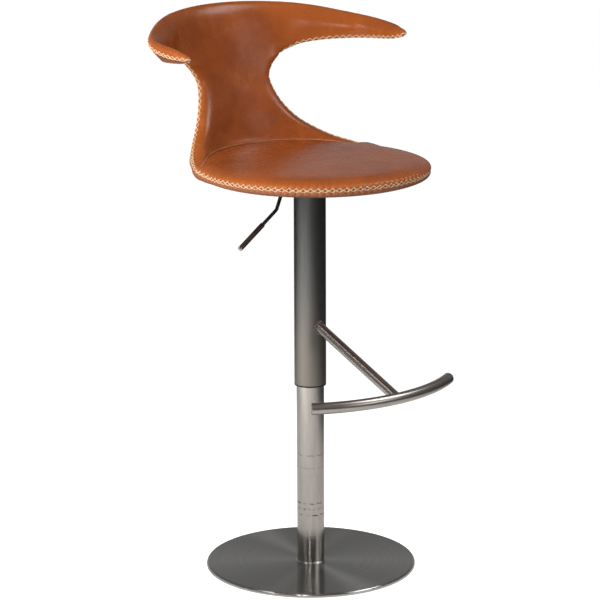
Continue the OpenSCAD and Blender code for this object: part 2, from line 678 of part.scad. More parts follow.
// Seat plate, housing and fixings
module seat_plate() {
    color("#3a3a3c") translate([0, 0, housing_top]) difference() {
        linear_extrude(plate_t) {
            square([plate_w, plate_w - 2 * plate_corner], center = true);
            square([plate_w - 2 * plate_corner, plate_w], center = true);
            for (x = [-1, 1]) for (y = [-1, 1])
                translate([x, y] * (plate_w / 2 - plate_corner)) circle(r = plate_corner);
        }
        at_bolts() translate([0, 0, -overrun])
            cylinder(r = seat_screw_r + screw_clear, h = plate_t + 2 * overrun);
    }
}
module lever_housing() {
    color("#333335") difference() {
        translate([-housing_back, -housing_w / 2, housing_low])
            cube([housing_back + housing_front, housing_w, housing_h]);
        translate([-housing_back - overrun, -housing_w / 2 + housing_t, housing_low + housing_t])
            cube([housing_back + housing_front - housing_t + overrun, housing_w - 2 * housing_t, housing_h]);
        disc(socket_r, housing_low - overrun, housing_low + housing_t + overrun);
        translate([lever_pivot_x, housing_w / 2 + overrun, lever_h]) rotate([90, 0, 0])
            cylinder(r = pivot_r, h = housing_w + 2 * overrun);
        at_collar() disc(collar_screw_r, housing_low - overrun, housing_low + housing_t + overrun);
    }
}
module seat_screws() {
    color("#a0a0a0") at_bolts() {
        disc(seat_screw_head, housing_top - seat_washer_t - seat_screw_head_t, housing_top - seat_washer_t);
        disc(seat_screw_r, housing_top - seat_washer_t, screw_top);
    }
}
module screw_washers() {
    color("#b5b5b5") at_bolts()
        ring(seat_washer_r, seat_screw_r + run_gap, housing_top - seat_washer_t, housing_top);
}

// Lift lever
module at_pivot() { translate([lever_pivot_x, 0, lever_h]) rotate([90, 0, 0]) children(); }
module lever_pivot() { color("#c0c0c0") at_pivot() cylinder(r = pivot_r, h = housing_w, center = true); }
// The rod is one round section swept along its bends, in the plane of the lever.
function bend(start, dir, turn, steps) =
    let(centre = start + lever_bend * sign(turn) * [cos(dir + 90), sin(dir + 90)])
    [for (i = [0:steps]) let(a = dir + turn * i / steps)
        [centre - lever_bend * sign(turn) * [cos(a + 90), sin(a + 90)], a]];
rod_rings = concat([[[lever_pivot_x, lever_h], 180]], bend(bend_in, 180, drop_turn, 6),
    bend(grip_in, 180 + drop_turn, grip_turn, 4), [[lever_path[2], 180 + grip_dir]]);
rod_sides = 16;
function rod_point(ring, side) =
    let(a = side * 360 / rod_sides, p = ring[0], out = lever_r * cos(a))
    [p[0] - out * sin(ring[1]), lever_r * sin(a), p[1] + out * cos(ring[1])];
module swept_rod() {
    last = len(rod_rings) - 1;
    points = [for (ring = rod_rings) for (side = [0:rod_sides - 1]) rod_point(ring, side)];
    walls = flat([for (k = [0:last - 1]) for (side = [0:rod_sides - 1])
        let(next = (side + 1) % rod_sides, low = k * rod_sides, high = low + rod_sides)
        quad(low + side, low + next, high + next, high + side, false)]);
    polyhedron(points = points, faces = concat(walls, [[for (side = [rod_sides - 1:-1:0]) side],
        [for (side = [0:rod_sides - 1]) last * rod_sides + side]]));
}
module lever_rod() {
    color("#222224") difference() {
        union() {
            swept_rod();
            at_pivot() cylinder(r = pivot_boss_r, h = 2 * pivot_boss_r, center = true);
            translate([lever_pivot_x, -tongue_w / 2, lever_h - tongue_t / 2])
                cube([lever_inner - lever_pivot_x, tongue_w, tongue_t]);
        }
        at_pivot() cylinder(r = pivot_r + run_gap, h = housing_w, center = true);
    }
}
module on_grip() {
    translate([lever_path[2][0], 0, lever_path[2][1]]) rotate([0, -90 - grip_dir, 0]) children();
}
module lever_grip() { color("#2a211d") on_grip() cylinder(r = grip_d / 2, h = grip_len); }
module lever_tip() {
    color("#d9d9d9") on_grip() translate([0, 0, grip_len])
        cylinder(r1 = grip_d / 2, r2 = lever_r, h = tip_len);
}

// Shell
module screw_holes() {
    at_bolts() disc(seat_screw_r + screw_clear, under_h - overrun, screw_top + seat_gap, $fn = fine_fn);
}
module seat_undercover() {
    color("#5e3a2a") difference() {
        seat_layer(0, cover_share);
        screw_holes();
    }
}
module seat_board() {
    color("#a88a5c") difference() {
        seat_layer(cover_share, core_share);
        screw_holes();
    }
}
module seat_pad() { color("#9a5226") seat_layer(core_share, 1); }
module back_cover() { color("#5e3a2a") back_layer(0, cover_share); }
module back_core() { color("#a88a5c") back_layer(cover_share, core_share); }
module back_pad() { color("#9a5226") back_layer(core_share, 1); }

floor_pad();
base_weight();
base_cover();
column_tube();
column_foot();
foot_ring();
base_screws();
lower_race();
bearing_balls();
column_bush();
piston_rod();
piston();
upper_race();
bump_stop();
rod_clip();
rod_washer();
pressure_tube();
rod_seal();
taper_socket();
release_pin();
cover_tube();
cover_end_ring();
cover_collar();
collar_screws();
footrest_arm();
arm_weld();
footrest_bar();
bar_end_caps();
lever_housing();
seat_plate();
seat_screws();
screw_washers();
lever_pivot();
lever_rod();
lever_grip();
lever_tip();
seat_board();
back_core();
seat_pad();
back_pad();
seat_undercover();
back_cover();
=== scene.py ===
import json
import math
import random

import bmesh
import bpy
import numpy as np
from mathutils import Matrix, Vector
from mathutils.kdtree import KDTree


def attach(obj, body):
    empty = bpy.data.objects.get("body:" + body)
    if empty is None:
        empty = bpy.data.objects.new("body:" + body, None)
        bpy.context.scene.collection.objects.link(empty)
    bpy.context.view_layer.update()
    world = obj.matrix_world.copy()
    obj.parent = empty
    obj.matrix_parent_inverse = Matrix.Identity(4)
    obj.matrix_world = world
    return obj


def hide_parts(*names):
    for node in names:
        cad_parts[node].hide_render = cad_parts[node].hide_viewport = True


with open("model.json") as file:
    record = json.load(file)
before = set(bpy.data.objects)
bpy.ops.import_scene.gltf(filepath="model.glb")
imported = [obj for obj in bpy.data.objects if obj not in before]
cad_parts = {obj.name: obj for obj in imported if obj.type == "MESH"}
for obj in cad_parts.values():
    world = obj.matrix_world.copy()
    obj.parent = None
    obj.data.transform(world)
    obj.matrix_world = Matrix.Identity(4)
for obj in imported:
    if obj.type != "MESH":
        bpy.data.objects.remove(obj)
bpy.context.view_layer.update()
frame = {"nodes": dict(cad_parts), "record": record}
nodes = frame["nodes"]
MM = 0.001

# Camera, in metres and radians. The heading is level, and the camera looks down from it by the pitch.
CAMERA_PLACE, CAMERA_HEADING = (-3.2140, -3.9805, 1.7834), (0.6252, 0.7804)
CAMERA_PITCH, CAMERA_ROLL = 0.2383, -0.004
LENS_MM, SENSOR_MM, CAMERA_REACH = 162, 36, 60


def set_camera():
    """A camera at the photograph's angle."""
    level = Vector((*CAMERA_HEADING, 0)).normalized()
    right = Vector((level.y, -level.x, 0))
    ahead = level * math.cos(CAMERA_PITCH) - Vector((0, 0, math.sin(CAMERA_PITCH)))
    up = right.cross(ahead)
    side = right * math.cos(CAMERA_ROLL) + up * math.sin(CAMERA_ROLL)
    top = up * math.cos(CAMERA_ROLL) - right * math.sin(CAMERA_ROLL)
    bpy.ops.object.camera_add(location=CAMERA_PLACE)
    camera = bpy.context.object
    camera.name = "photo_camera"
    turn = Matrix((side, top, -ahead)).transposed().to_4x4()
    camera.matrix_world = Matrix.Translation(CAMERA_PLACE) @ turn
    camera.data.lens = LENS_MM
    camera.data.sensor_width = SENSOR_MM
    camera.data.clip_end = CAMERA_REACH
    camera.data.dof.use_dof = False
    bpy.context.scene.camera = camera


set_camera()


# Finishes
class Wire:
    """A value that runs through a finish. An expression on wires adds its Math nodes."""

    def __init__(self, finish, socket):
        self.finish, self.socket = finish, socket

    def maths(self, operation, a, b=0.0):
        return self.finish.node("ShaderNodeMath", {"operation": operation}, {0: a, 1: b})

    def __add__(self, other):
        return self.maths("ADD", self, other)

    def __radd__(self, other):
        return self.maths("ADD", other, self)

    def __sub__(self, other):
        return self.maths("SUBTRACT", self, other)

    def __rsub__(self, other):
        return self.maths("SUBTRACT", other, self)

    def __mul__(self, other):
        return self.maths("MULTIPLY", self, other)

    def __rmul__(self, other):
        return self.maths("MULTIPLY", other, self)

    def __truediv__(self, other):
        return self.maths("DIVIDE", self, other)

    def __pow__(self, other):
        return self.maths("POWER", self, other)

    def most(self, other):
        return self.maths("MAXIMUM", self, other)

    def absolute(self):
        return self.maths("ABSOLUTE", self)

    def between(self, low, high):
        """0 below low and 1 above high, with a soft step."""
        return self.finish.node("ShaderNodeMapRange", {"interpolation_type": "SMOOTHSTEP"},
                                {0: self, 1: low, 2: high, 3: 0.0, 4: 1.0})


class Finish:
    """One finish of the stool: a material with its nodes."""

    def __init__(self, name, **fixed):
        self.material = bpy.data.materials.new(name)
        self.material.use_nodes = True
        self.tree = self.material.node_tree
        self.shader = self.tree.nodes["Principled BSDF"]
        for socket, value in fixed.items():
            self.shader.inputs[socket.replace("_", " ")].default_value = value

    def node(self, kind, settings=None, sockets=None, out=0):
        """Adds a node of a type, with its settings first and then the values or wires of its sockets."""
        made = self.tree.nodes.new(kind)
        for key, value in (settings or {}).items():
            setattr(made, key, value)
        for key, value in (sockets or {}).items():
            self.feed(made.inputs[key], value)
        return Wire(self, made.outputs[out])

    def feed(self, socket, value):
        if isinstance(value, Wire):
            self.tree.links.new(value.socket, socket)
        elif socket.type == "RGBA":
            socket.default_value = (*value, 1)
        else:
            socket.default_value = value

    def place(self, scale=(1, 1, 1)):
        """Where a point of the piece is, in metres times the scale."""
        here = self.node("ShaderNodeTexCoord", out=3)
        return self.node("ShaderNodeMapping", {}, {0: here, 3: scale})

    def axes(self):
        """The x, y and z of a point of the piece, in metres."""
        here = self.node("ShaderNodeTexCoord", out=3)
        split = self.node("ShaderNodeSeparateXYZ", {}, {0: here})
        return [Wire(self, out) for out in split.socket.node.outputs]

    def noise(self, scale, detail=3.0, rough=0.5, bend=0.0, place=None):
        return self.node("ShaderNodeTexNoise", {},
                         {"Vector": place or self.place(), "Scale": scale, "Detail": detail,
                          "Roughness": rough, "Distortion": bend})

    def drawn_noise(self, x, y, z, detail, rough, bend=0.0):
        """Noise that is drawn out along the axes in which x, y and z change slowly."""
        drawn = self.node("ShaderNodeCombineXYZ", {}, {0: x, 1: y, 2: z})
        return self.noise(1.0, detail, rough, bend, drawn)

    def cells(self, scale):
        return self.node("ShaderNodeTexVoronoi", {}, {"Vector": self.place(), "Scale": scale})

    def blend(self, share, first, second):
        return self.node("ShaderNodeMix", {"data_type": "RGBA"}, {0: share, 6: first, 7: second}, out=2)

    def painted(self, name):
        """A value that the piece's own mesh holds at each point."""
        return self.node("ShaderNodeAttribute", {"attribute_name": name}, out=2)

    def bump(self, height, depth, under=None):
        sockets = {"Strength": 1.0, "Distance": depth, "Height": height}
        if under is not None:
            sockets["Normal"] = under
        return self.node("ShaderNodeBump", {}, sockets)

    def done(self, **varied):
        for socket, value in varied.items():
            self.feed(self.shader.inputs[socket.replace("_", " ")], value)
        return self.material


def cognac_leather():
    """Waxed leather: cloudy and mottled, with a painted highlight that makes it paler along its edges, and
    painted shade in the dents and grooves of the stitches.
    """
    f = Finish("cognac_leather", Specular_IOR_Level=0.3, Coat_Roughness=0.2)
    deep, tan, light = (0.205, 0.042, 0.008), (0.285, 0.064, 0.0128), (0.335, 0.082, 0.0175)
    # The pale edge colour is a painted highlight, and the dark creased colour is painted shade for the
    # stitch dents and seam grooves.
    wear_and_edge_highlight, pale_vein, painted_crease_shade = (0.43, 0.118, 0.024), (0.52, 0.21, 0.085), (0.16, 0.040, 0.010)
    clouds = f.noise(7, 3, 0.55, 0.4).between(0.34, 0.66)
    mottle = f.noise(30, 5, 0.62, 0.5).between(0.32, 0.7)
    # The edge attribute carries a painted highlight, and the pull attribute carries painted shade.
    edge = f.painted("edge")
    pull = f.painted("pull")
    wander = f.noise(11, 3, 0.55, 1.0, f.place((1.3, 1.3, 0.45)))
    veins = 1 - ((wander - 0.5).absolute() * 70).between(0, 1)
    veins = veins * f.noise(5, 1).between(0.46, 0.62)
    colour = f.blend(clouds, deep, tan)
    colour = f.blend(mottle * 0.38, colour, light)
    # Painted highlight: paler along the rolled edges near the seams.
    colour = f.blend(edge * 0.75, colour, wear_and_edge_highlight)
    colour = f.blend(veins * 0.12, colour, pale_vein)
    # Painted shade in the dents at the stitch holes and in the seam grooves.
    colour = f.blend(pull * 0.3, colour, painted_crease_shade)
    pores = f.cells(820)
    grain = f.noise(420, 4, 0.6)
    folds = f.noise(55, 3, 0.55, 1.2, f.place((1, 1, 0.6)))
    normal = f.bump(folds, 0.00025)
    normal = f.bump(pores * 0.6 + grain, 0.00008, normal)
    sheen = f.noise(18, 3, 0.6).between(0.3, 0.7)
    return f.done(Base_Color=colour, Roughness=0.25 + sheen * 0.04 + pull * 0.1,
                  Coat_Weight=edge * 0.16, Normal=normal)


def under_leather():
    """The duller leather of the outer faces."""
    f = Finish("under_leather", Specular_IOR_Level=0.4)
    mottle = f.noise(30, 5, 0.62, 0.5).between(0.3, 0.7)
    colour = f.blend(mottle, (0.23, 0.070, 0.028), (0.30, 0.098, 0.040))
    # Painted highlight: paler along the edges near the seams.
    colour = f.blend(f.painted("edge") * 0.7, colour, (0.34, 0.118, 0.046))
    # Painted shade in the dents at the stitch holes and in the seam grooves.
    colour = f.blend(f.painted("pull") * 0.4, colour, (0.12, 0.040, 0.018))
    normal = f.bump(f.noise(55, 3, 0.55, 1.2), 0.0006)
    normal = f.bump(f.cells(760) * 0.6 + f.noise(420, 4, 0.6), 0.00014, normal)
    return f.done(Base_Color=colour, Roughness=0.46 + mottle * 0.12, Normal=normal)


def thread_finish(name, pale, deep):
    f = Finish(name, Specular_IOR_Level=0.3)
    twist = f.noise(900, 2, 0.5)
    tone = f.noise(60, 2, 0.5).between(0.3, 0.7)
    colour = f.blend(twist.between(0.35, 0.7), deep, pale)
    colour = f.blend(tone * 0.4, colour, deep)
    return f.done(Base_Color=colour, Roughness=0.62 + twist * 0.2, Normal=f.bump(twist, 0.0002))


def plywood():
    f = Finish("birch_ply", Specular_IOR_Level=0.35)
    plies = f.node("ShaderNodeTexWave", {"bands_direction": "Z"},
                   {"Vector": f.place(), "Scale": 110.0, "Distortion": 1.5, "Detail": 2.0})
    grain = f.noise(90, 5, 0.6, 0.4, f.place((0.15, 1, 1)))
    colour = f.blend(grain, (0.42, 0.30, 0.17), (0.55, 0.41, 0.25))
    colour = f.blend(plies.between(0.6, 0.9) * 0.35, colour, (0.26, 0.17, 0.09))
    return f.done(Base_Color=colour, Roughness=0.55 + grain * 0.15, Normal=f.bump(grain, 0.0002))


# Radii between which the brushed top of the base gives way to its polished edge, in metres
BRUSHED_R, POLISHED_R = 0.2032, 0.2042


def turned_steel():
    """The sheet over the base: brushed in circles, with a polished edge."""
    f = Finish("brushed_steel", Metallic=1.0, Anisotropic=0.97, Anisotropic_Rotation=0.25)
    x, y, _ = f.axes()
    out = (x * x + y * y) ** 0.5
    rings = f.node("ShaderNodeCombineXYZ", {}, {0: out * 900, 1: x * 2.2, 2: y * 2.2})
    brush = f.noise(1.0, 4, 0.7, 0, rings)
    wide = f.noise(0.35, 2, 0.5, 0, rings)
    polished = out.between(BRUSHED_R, POLISHED_R)
    smear = f.noise(7, 3, 0.6, 0.5)
    colour = f.blend(brush.between(0.3, 0.7), (0.45, 0.443, 0.427), (0.55, 0.542, 0.52))
    colour = f.blend(wide * 0.4, colour, (0.60, 0.59, 0.57))
    colour = f.blend(polished, colour, (0.56, 0.545, 0.525))
    rough = 0.19 + brush * 0.05 + smear * 0.03
    rough = rough * (1 - polished) + polished * 0.26
    return f.done(Base_Color=colour, Roughness=rough, Normal=f.bump(brush * (1 - polished), 0.00006))


# Rub marks that the guide left on the lower tube: the height and width of each in metres, and its strength
RUB_MARKS = [(0.231, 0.0022, 0.5), (0.205, 0.0018, 0.7), (0.188, 0.0014, 0.4), (0.132, 0.0026, 1.0),
             (0.120, 0.0040, 0.5), (0.108, 0.0026, 1.0)]
# Heights between which small specks begin, and between which they end, in metres
SPECKS_BEGIN, SPECKS_END = (0.08, 0.1), (0.13, 0.2)


def satin_tube():
    """The lower tube, with its rub marks and specks."""
    f = Finish("satin_steel_tube", Metallic=1.0, Anisotropic=0.4)
    x, y, z = f.axes()
    fine = f.drawn_noise(x * 60, y * 60, z * 1400, 4, 0.65)
    tall = f.drawn_noise(x * 160, y * 160, z * 16, 3, 0.6, 0.4)
    broken = f.noise(120, 4, 0.75, 0.5, f.place((1, 1, 1.6)))
    marks = None
    for height, wide, strong in RUB_MARKS:
        wavy = z - height + (f.noise(40, 2) - 0.5) * 0.0022
        near = 1 - (wavy.absolute() / wide).between(0.0, 1.0)
        line = near * broken.between(0.47, 0.58) * strong
        marks = line if marks is None else marks.most(line)
    specks = (1 - f.cells(330).between(0.0, 0.2)) * f.noise(26, 2).between(0.48, 0.58)
    specks = specks * (1 - z.between(*SPECKS_END)) * z.between(*SPECKS_BEGIN)
    colour = f.blend(tall.between(0.3, 0.75), (0.43, 0.40, 0.365), (0.50, 0.47, 0.43))
    colour = f.blend(fine * 0.25, colour, (0.53, 0.50, 0.47))
    colour = f.blend(marks.most(specks * 0.55), colour, (0.10, 0.085, 0.07))
    return f.done(Base_Color=colour, Roughness=0.15 + fine * 0.06 + marks * 0.25,
                  Normal=f.bump(fine, 0.00004))


# Heights between which the painted reflection of the floor on the cover tube fades out, in metres
REFLECTION_FULL_H, REFLECTION_GONE_H = 0.38, 0.62


def dark_tube():
    """The cover tube: brushed dark steel, with a painted reflection of the floor that makes it warmer and
    lighter towards its lower end.
    """
    f = Finish("dark_steel", Metallic=1.0, Anisotropic=0.7)
    x, y, z = f.axes()
    fine = f.drawn_noise(x * 90, y * 90, z * 1500, 4, 0.65)
    tall = f.drawn_noise(x * 130, y * 130, z * 9, 3, 0.6, 0.3)
    # Painted reflection of the floor: full at the lower end of the tube, and gone higher up.
    low = 1 - z.between(REFLECTION_FULL_H, REFLECTION_GONE_H)
    colour = f.blend(low, (0.20, 0.20, 0.195), (0.28, 0.25, 0.215))
    colour = f.blend(tall.between(0.3, 0.8) * 0.3, colour, (0.30, 0.29, 0.275))
    return f.done(Base_Color=colour, Roughness=0.29 + fine * 0.08, Normal=f.bump(fine, 0.00004))


def steel(name, pale, rough, scratch=0.00004, spread=0.06):
    """Plain steel with fine scratches and soft smears. The spread is how much duller the smears are."""
    f = Finish(name, Metallic=1.0)
    fine = f.noise(700, 4, 0.6)
    smear = f.noise(18, 3, 0.6, 0.4).between(0.3, 0.7)
    colour = f.blend(smear * 0.5, pale, tuple(c * 0.8 for c in pale))
    return f.done(Base_Color=colour, Roughness=rough + smear * spread + fine * 0.04,
                  Normal=f.bump(fine, scratch))


def dull(name, deep, pale, rough, grain, depth, **fixed):
    """Rubber, plastic and paint: a fine grain with worn, paler spots."""
    f = Finish(name, **fixed)
    fine = f.noise(grain, 4, 0.6)
    wear_and_edge_highlight = f.noise(28, 4, 0.65, 0.5).between(0.5, 0.75)
    colour = f.blend(wear_and_edge_highlight, deep, pale)
    rough = rough + fine * 0.12 - wear_and_edge_highlight * 0.05
    return f.done(Base_Color=colour, Roughness=rough, Normal=f.bump(fine, depth))


FINISHES = {
    "cognac_leather": cognac_leather(),
    "under_leather": under_leather(),
    "birch_ply": plywood(),
    "cream_thread": thread_finish("cream_thread", (0.86, 0.66, 0.44), (0.62, 0.41, 0.24)),
    "tan_thread": thread_finish("tan_thread", (0.72, 0.40, 0.21), (0.48, 0.23, 0.10)),
    "brushed_steel": turned_steel(),
    "satin_tube": satin_tube(),
    "dark_steel": dark_tube(),
    "satin_steel": steel("satin_steel", (0.52, 0.475, 0.44), 0.27, 0.000004, 0.03),
    "polished_steel": steel("polished_steel", (0.72, 0.70, 0.68), 0.10, spread=0.05),
    "raw_steel": steel("raw_steel", (0.30, 0.295, 0.29), 0.38, 0.0001, 0.12),
    "fastener_steel": steel("fastener_steel", (0.50, 0.49, 0.46), 0.30, 0.00008, 0.1),
    "weld_steel": steel("weld_steel", (0.20, 0.18, 0.16), 0.30, 0.0002, 0.15),
    "brass_pin": steel("brass_pin", (0.62, 0.45, 0.20), 0.28, 0.00008, 0.1),
    "rubber_black": dull("rubber_black", (0.012, 0.012, 0.012), (0.03, 0.03, 0.029), 0.62, 500, 0.0002),
    "black_plastic": dull("black_plastic", (0.009, 0.009, 0.010), (0.02, 0.02, 0.021), 0.42, 600, 0.0001),
    "black_paint": dull("black_paint", (0.010, 0.009, 0.010), (0.022, 0.020, 0.021), 0.30, 400, 0.00012,
                        Coat_Weight=0.3, Coat_Roughness=0.2),
    "grip_rubber": dull("grip_rubber", (0.014, 0.008, 0.007), (0.034, 0.017, 0.013), 0.34, 420, 0.00015,
                        Coat_Weight=0.2, Coat_Roughness=0.25),
}

for part in frame["record"]["subparts"]:
    node = nodes[part["node"]]
    finish = FINISHES["satin_tube" if part["node"] == "column_tube" else part["material_slot"]]
    if not node.material_slots:
        node.data.materials.append(finish)
    for slot in node.material_slots:
        slot.material = finish


# Curves and lines
ROLL_SOFTNESS, LEAST_STEP = 0.39, 1e-5


def clamp(x, low, high):
    return min(max(x, low), high)


def mix(a, b, t):
    return a + (b - a) * t


def ease(x):
    """0 up to 0 and 1 from 1 on, with a soft step."""
    e = clamp(x, 0, 1)
    return e * e * (3 - 2 * e)


def round_in(x):
    """Quarter round: 0 at the edge, 1 from the full depth on."""
    return math.sqrt(max(0, 1 - (1 - clamp(x, 0, 1)) ** 2))


def quarter(x):
    """Quarter round the other way: 1 at the start, 0 from the full depth on."""
    return math.sqrt(max(0, 1 - clamp(x, 0, 1) ** 2))


def rolled(x):
    """A rolled edge: 0 at the edge and close to 1 from 1 on, with no line where the roll ends."""
    return math.sqrt(1 - math.exp(-max(0, x) / ROLL_SOFTNESS))


def smooth(xs, ys, x):
    """Values at x on a smooth curve through a few points. xs rises, and ys may hold points."""
    xs, ys = np.asarray(xs, float), np.asarray(ys, float)
    x = np.clip(np.atleast_1d(x), xs[0], xs[-1])
    i = np.clip(np.searchsorted(xs, x, side="right") - 1, 0, len(xs) - 2)
    before = np.maximum(np.arange(len(xs)) - 1, 0)
    after = np.minimum(np.arange(len(xs)) + 1, len(xs) - 1)
    shape = (-1, *[1] * (ys.ndim - 1))
    rise = (ys[after] - ys[before]) / (xs[after] - xs[before]).reshape(shape)
    w = (xs[i + 1] - xs[i]).reshape(shape)
    t = ((x - xs[i]) / (xs[i + 1] - xs[i])).reshape(shape)
    u = 1 - t
    return (ys[i] * (1 + 2 * t) * u * u + ys[i + 1] * (3 - 2 * t) * t * t
            + rise[i] * w * t * u * u - rise[i + 1] * w * t * t * u)


def curve(xs, ys, x):
    return float(smooth(xs, ys, x)[0])


def lengths(points):
    """How far along a line each of its points is."""
    steps = np.linalg.norm(np.diff(points, axis=0), axis=1)
    return np.concatenate([[0], np.cumsum(np.maximum(steps, LEAST_STEP))])


# Form of the shell, in millimetres and degrees. Heights are above the seam round the seat, at RIM_H.
# A sweep is an angle about the axis of the seat, from the middle of the back.
RIM_H, SEAT_R, SEAT_FWD = 804, 221, 16
SEAT_CROWN, SEAT_DIP, SEAT_DEPTH = 18, 1.6, 18.5
BACK_H, WAIST_HALF, HALF_T = 289, 88, 13
LEAN = math.tan(math.radians(15))
WALL_OUT, WALL_START = 16, 21
SEAM_SWEEP, CORNER_SWEEP, ARM_SWEEP, RIM_TURN = 65, 24.2, 81, 15
# The foot of the back stands this far further in, up to a height, and less over the next length.
SHIFT, SHIFT_LOW, SHIFT_LONG = 9, 62, 114
FOOT_SWELL, FOOT_SWELL_H = 6.7, 24
# Share of the thickness that is cover, and that is padding over the board
COVER_SHARE, CORE_SHARE = 2.4 / 26, 0.38
# The outer wall turns under the seat from this height to this radius.
OUTER_TOP, UNDER_FLAT_R = 26, 205
# How wide the edges are rolled
TOP_ROLL, TOP_ROLL_MOST, ARM_ROLL, NECK_ROLL, OUTER_ROLL = 33, 0.62, 18, 36, 28
FOOT_ROLL, FOOT_ROLL_H, FOOT_SOFT = 60, 25, 0.6
# Powers that bend the rows of the neck towards its edges
FIRST_ROW_BEND, ROW_BEND, FOOT_BEND, SIDE_BEND = 5, 3, 9, 6
# How far an arm's lower edge is set in, lifted and bulged, and how soon each of them grows along the arm
EDGE_IN, EDGE_IN_RISE, LOW_LIFT, LOW_RISE, ROLL_RISE = 0.6, 3.5, 1.4, 5, 3
ARM_BULGE, BULGE_RISE, BULGE_FALL = 4.5, 4, 3
SLANT_START, SLANT_BEND, SLANT_RISE = 0.12, 1.4, 5
# Each section of an arm is averaged over its neighbours, up to this share of the arm away.
BLEND, NEIGHBOURS = 0.08, (-1, -0.5, 0, 0.5, 1)

# The neck's half width, as a share of the waist's, at heights that are shares of the back's
NECK_HEIGHTS = [0.000, 0.038, 0.078, 0.142, 0.211, 0.280, 0.349, 0.419, 0.488, 0.557, 0.630]
NECK_WIDTHS = [2.52, 2.32, 2.02, 1.69, 1.42, 1.24, 1.115, 1.03, 1.00, 1.09, 1.36]
# Heights of the neck's rows: at its edges, and in the middle of the front and of the outer face
ROW_ENDS = [0.024, 0.046, 0.077, 0.125, 0.201, 0.298, 0.395, 0.488, 0.568, 0.630]
ROW_FRONTS = [0.064, 0.094, 0.143, 0.200, 0.266, 0.342, 0.417, 0.494, 0.562, 0.616]
ROW_OUTERS = [-0.012, 0.040, 0.090, 0.160, 0.230, 0.315, 0.402, 0.488, 0.560, 0.616]
LAST_ROW = len(ROW_ENDS) - 1
# The arm at some places between its root, 0, and its tip, 1
STATIONS = [0, 0.055, 0.12, 0.27, 0.45, 0.61, 0.745, 0.87, 0.94, 0.98, 1]
ARM_LOWS = [0.630, 0.664, 0.692, 0.719, 0.732, 0.739, 0.746, 0.757, 0.765, 0.778, 0.796]
ARM_TOPS = [0.982, 0.979, 0.972, 0.951, 0.914, 0.886, 0.869, 0.854, 0.841, 0.826, 0.800]
ARM_SEAMS = [0.945, 0.942, 0.932, 0.910, 0.878, 0.840, 0.811, 0.795, 0.792, 0.793, 0.798]
ARM_THICKS = [1, 1, 1, 1.02, 1.02, 1.00, 0.94, 0.86, 0.78, 0.62, 0.25]
ARM_PLANS = [1, 1, 1.000, 1.004, 1.020, 1.030, 0.988, 0.945, 0.928, 0.920, 0.916]
# Where the points of a section's front and of its top are
FRONT_SHARES = [0, 0.03, 0.08, 0.16, 0.28, 0.42, 0.56, 0.70, 0.82, 0.91, 0.97, 1]
OVER_SHARES = [0.25, 0.6, 1]
# The seat from its seam inwards: how far out each ring is and how far it has risen or fallen
RINGS = [1, 1.008, 0.999, 0.975, 0.932, 0.842, 0.55]
RISES = [0, 0.15, 0.35, 0.56, 0.77, 0.94, 1]
LOW_RINGS = [1, 1.004, 0.992, 0.962, 0.915, 0.82, 0.55]
INNER_RINGS = [1, 0.991, 0.98, 0.96, 0.92, 0.82, 0.55]
FALLS = [0, 0.27, 0.53, 0.75, 0.91, 1, 1]


def wall_r(h):
    return SEAT_R + WALL_OUT + LEAN * (h - WALL_START)


def shift_in(h):
    return SHIFT * (1 - ease((h - SHIFT_LOW) / SHIFT_LONG))


FOOT_H, FOOT_END_H = ROW_FRONTS[0] * BACK_H, ROW_ENDS[0] * BACK_H


def front_in(h):
    return HALF_T + shift_in(h) + FOOT_SWELL * math.exp(-(h - FOOT_H) / FOOT_SWELL_H)


def outer_out(h):
    return HALF_T - shift_in(h)


def at(sweep, r, h):
    turn = math.radians(sweep)
    return np.array([r * math.sin(turn), r * math.cos(turn) - SEAT_FWD, RIM_H + h])


TURN_H = OUTER_TOP + SEAT_DEPTH
TURN_R = wall_r(OUTER_TOP) + outer_out(OUTER_TOP) - UNDER_FLAT_R


def turned_r(h):
    return UNDER_FLAT_R + TURN_R * quarter((OUTER_TOP - h) / TURN_H)


def turned_h(r):
    return OUTER_TOP - TURN_H * quarter((r - UNDER_FLAT_R) / TURN_R)


def neck_sweep(h):
    half = WAIST_HALF * curve(NECK_HEIGHTS, NECK_WIDTHS, h / BACK_H)
    return math.degrees(math.asin(clamp(half / wall_r(h), -1, 1)))


ROW_SWEEPS = [SEAM_SWEEP] + [neck_sweep(e * BACK_H) for e in ROW_ENDS[1:-1]] + [CORNER_SWEEP]


def sweep_in(h, d):
    """The share of its depth that the front of the neck has at a distance from its stitched edge."""
    near = math.exp(-(h - FOOT_END_H) / FOOT_ROLL_H)
    return rolled(d / (NECK_ROLL + FOOT_ROLL * near)) ** (1 + FOOT_SOFT * near)


def neck_point(j, s, front):
    """A point of row j of the neck. s runs from -1 at one stitched edge to 1 at the other."""
    far = 1 - abs(s) ** (FIRST_ROW_BEND if j == 0 else ROW_BEND)
    d = (1 - abs(s)) * math.radians(ROW_SWEEPS[j]) * wall_r(ROW_ENDS[j] * BACK_H)
    h = BACK_H * mix(ROW_ENDS[j], (ROW_FRONTS if front else ROW_OUTERS)[j], far)
    if abs(s) == 1:
        r = wall_r(h)
    elif front and j == 0:
        r = mix(wall_r(FOOT_H) - front_in(FOOT_H), wall_r(FOOT_END_H), abs(s) ** FOOT_BEND)
    elif front:
        r = wall_r(h) - front_in(h) * sweep_in(h, d)
    elif h < OUTER_TOP:
        r = mix(wall_r(h), turned_r(h), round_in(d / OUTER_ROLL))
    else:
        r = wall_r(h) + outer_out(h) * round_in(d / OUTER_ROLL)
    return at(ROW_SWEEPS[j] * s, r, h)


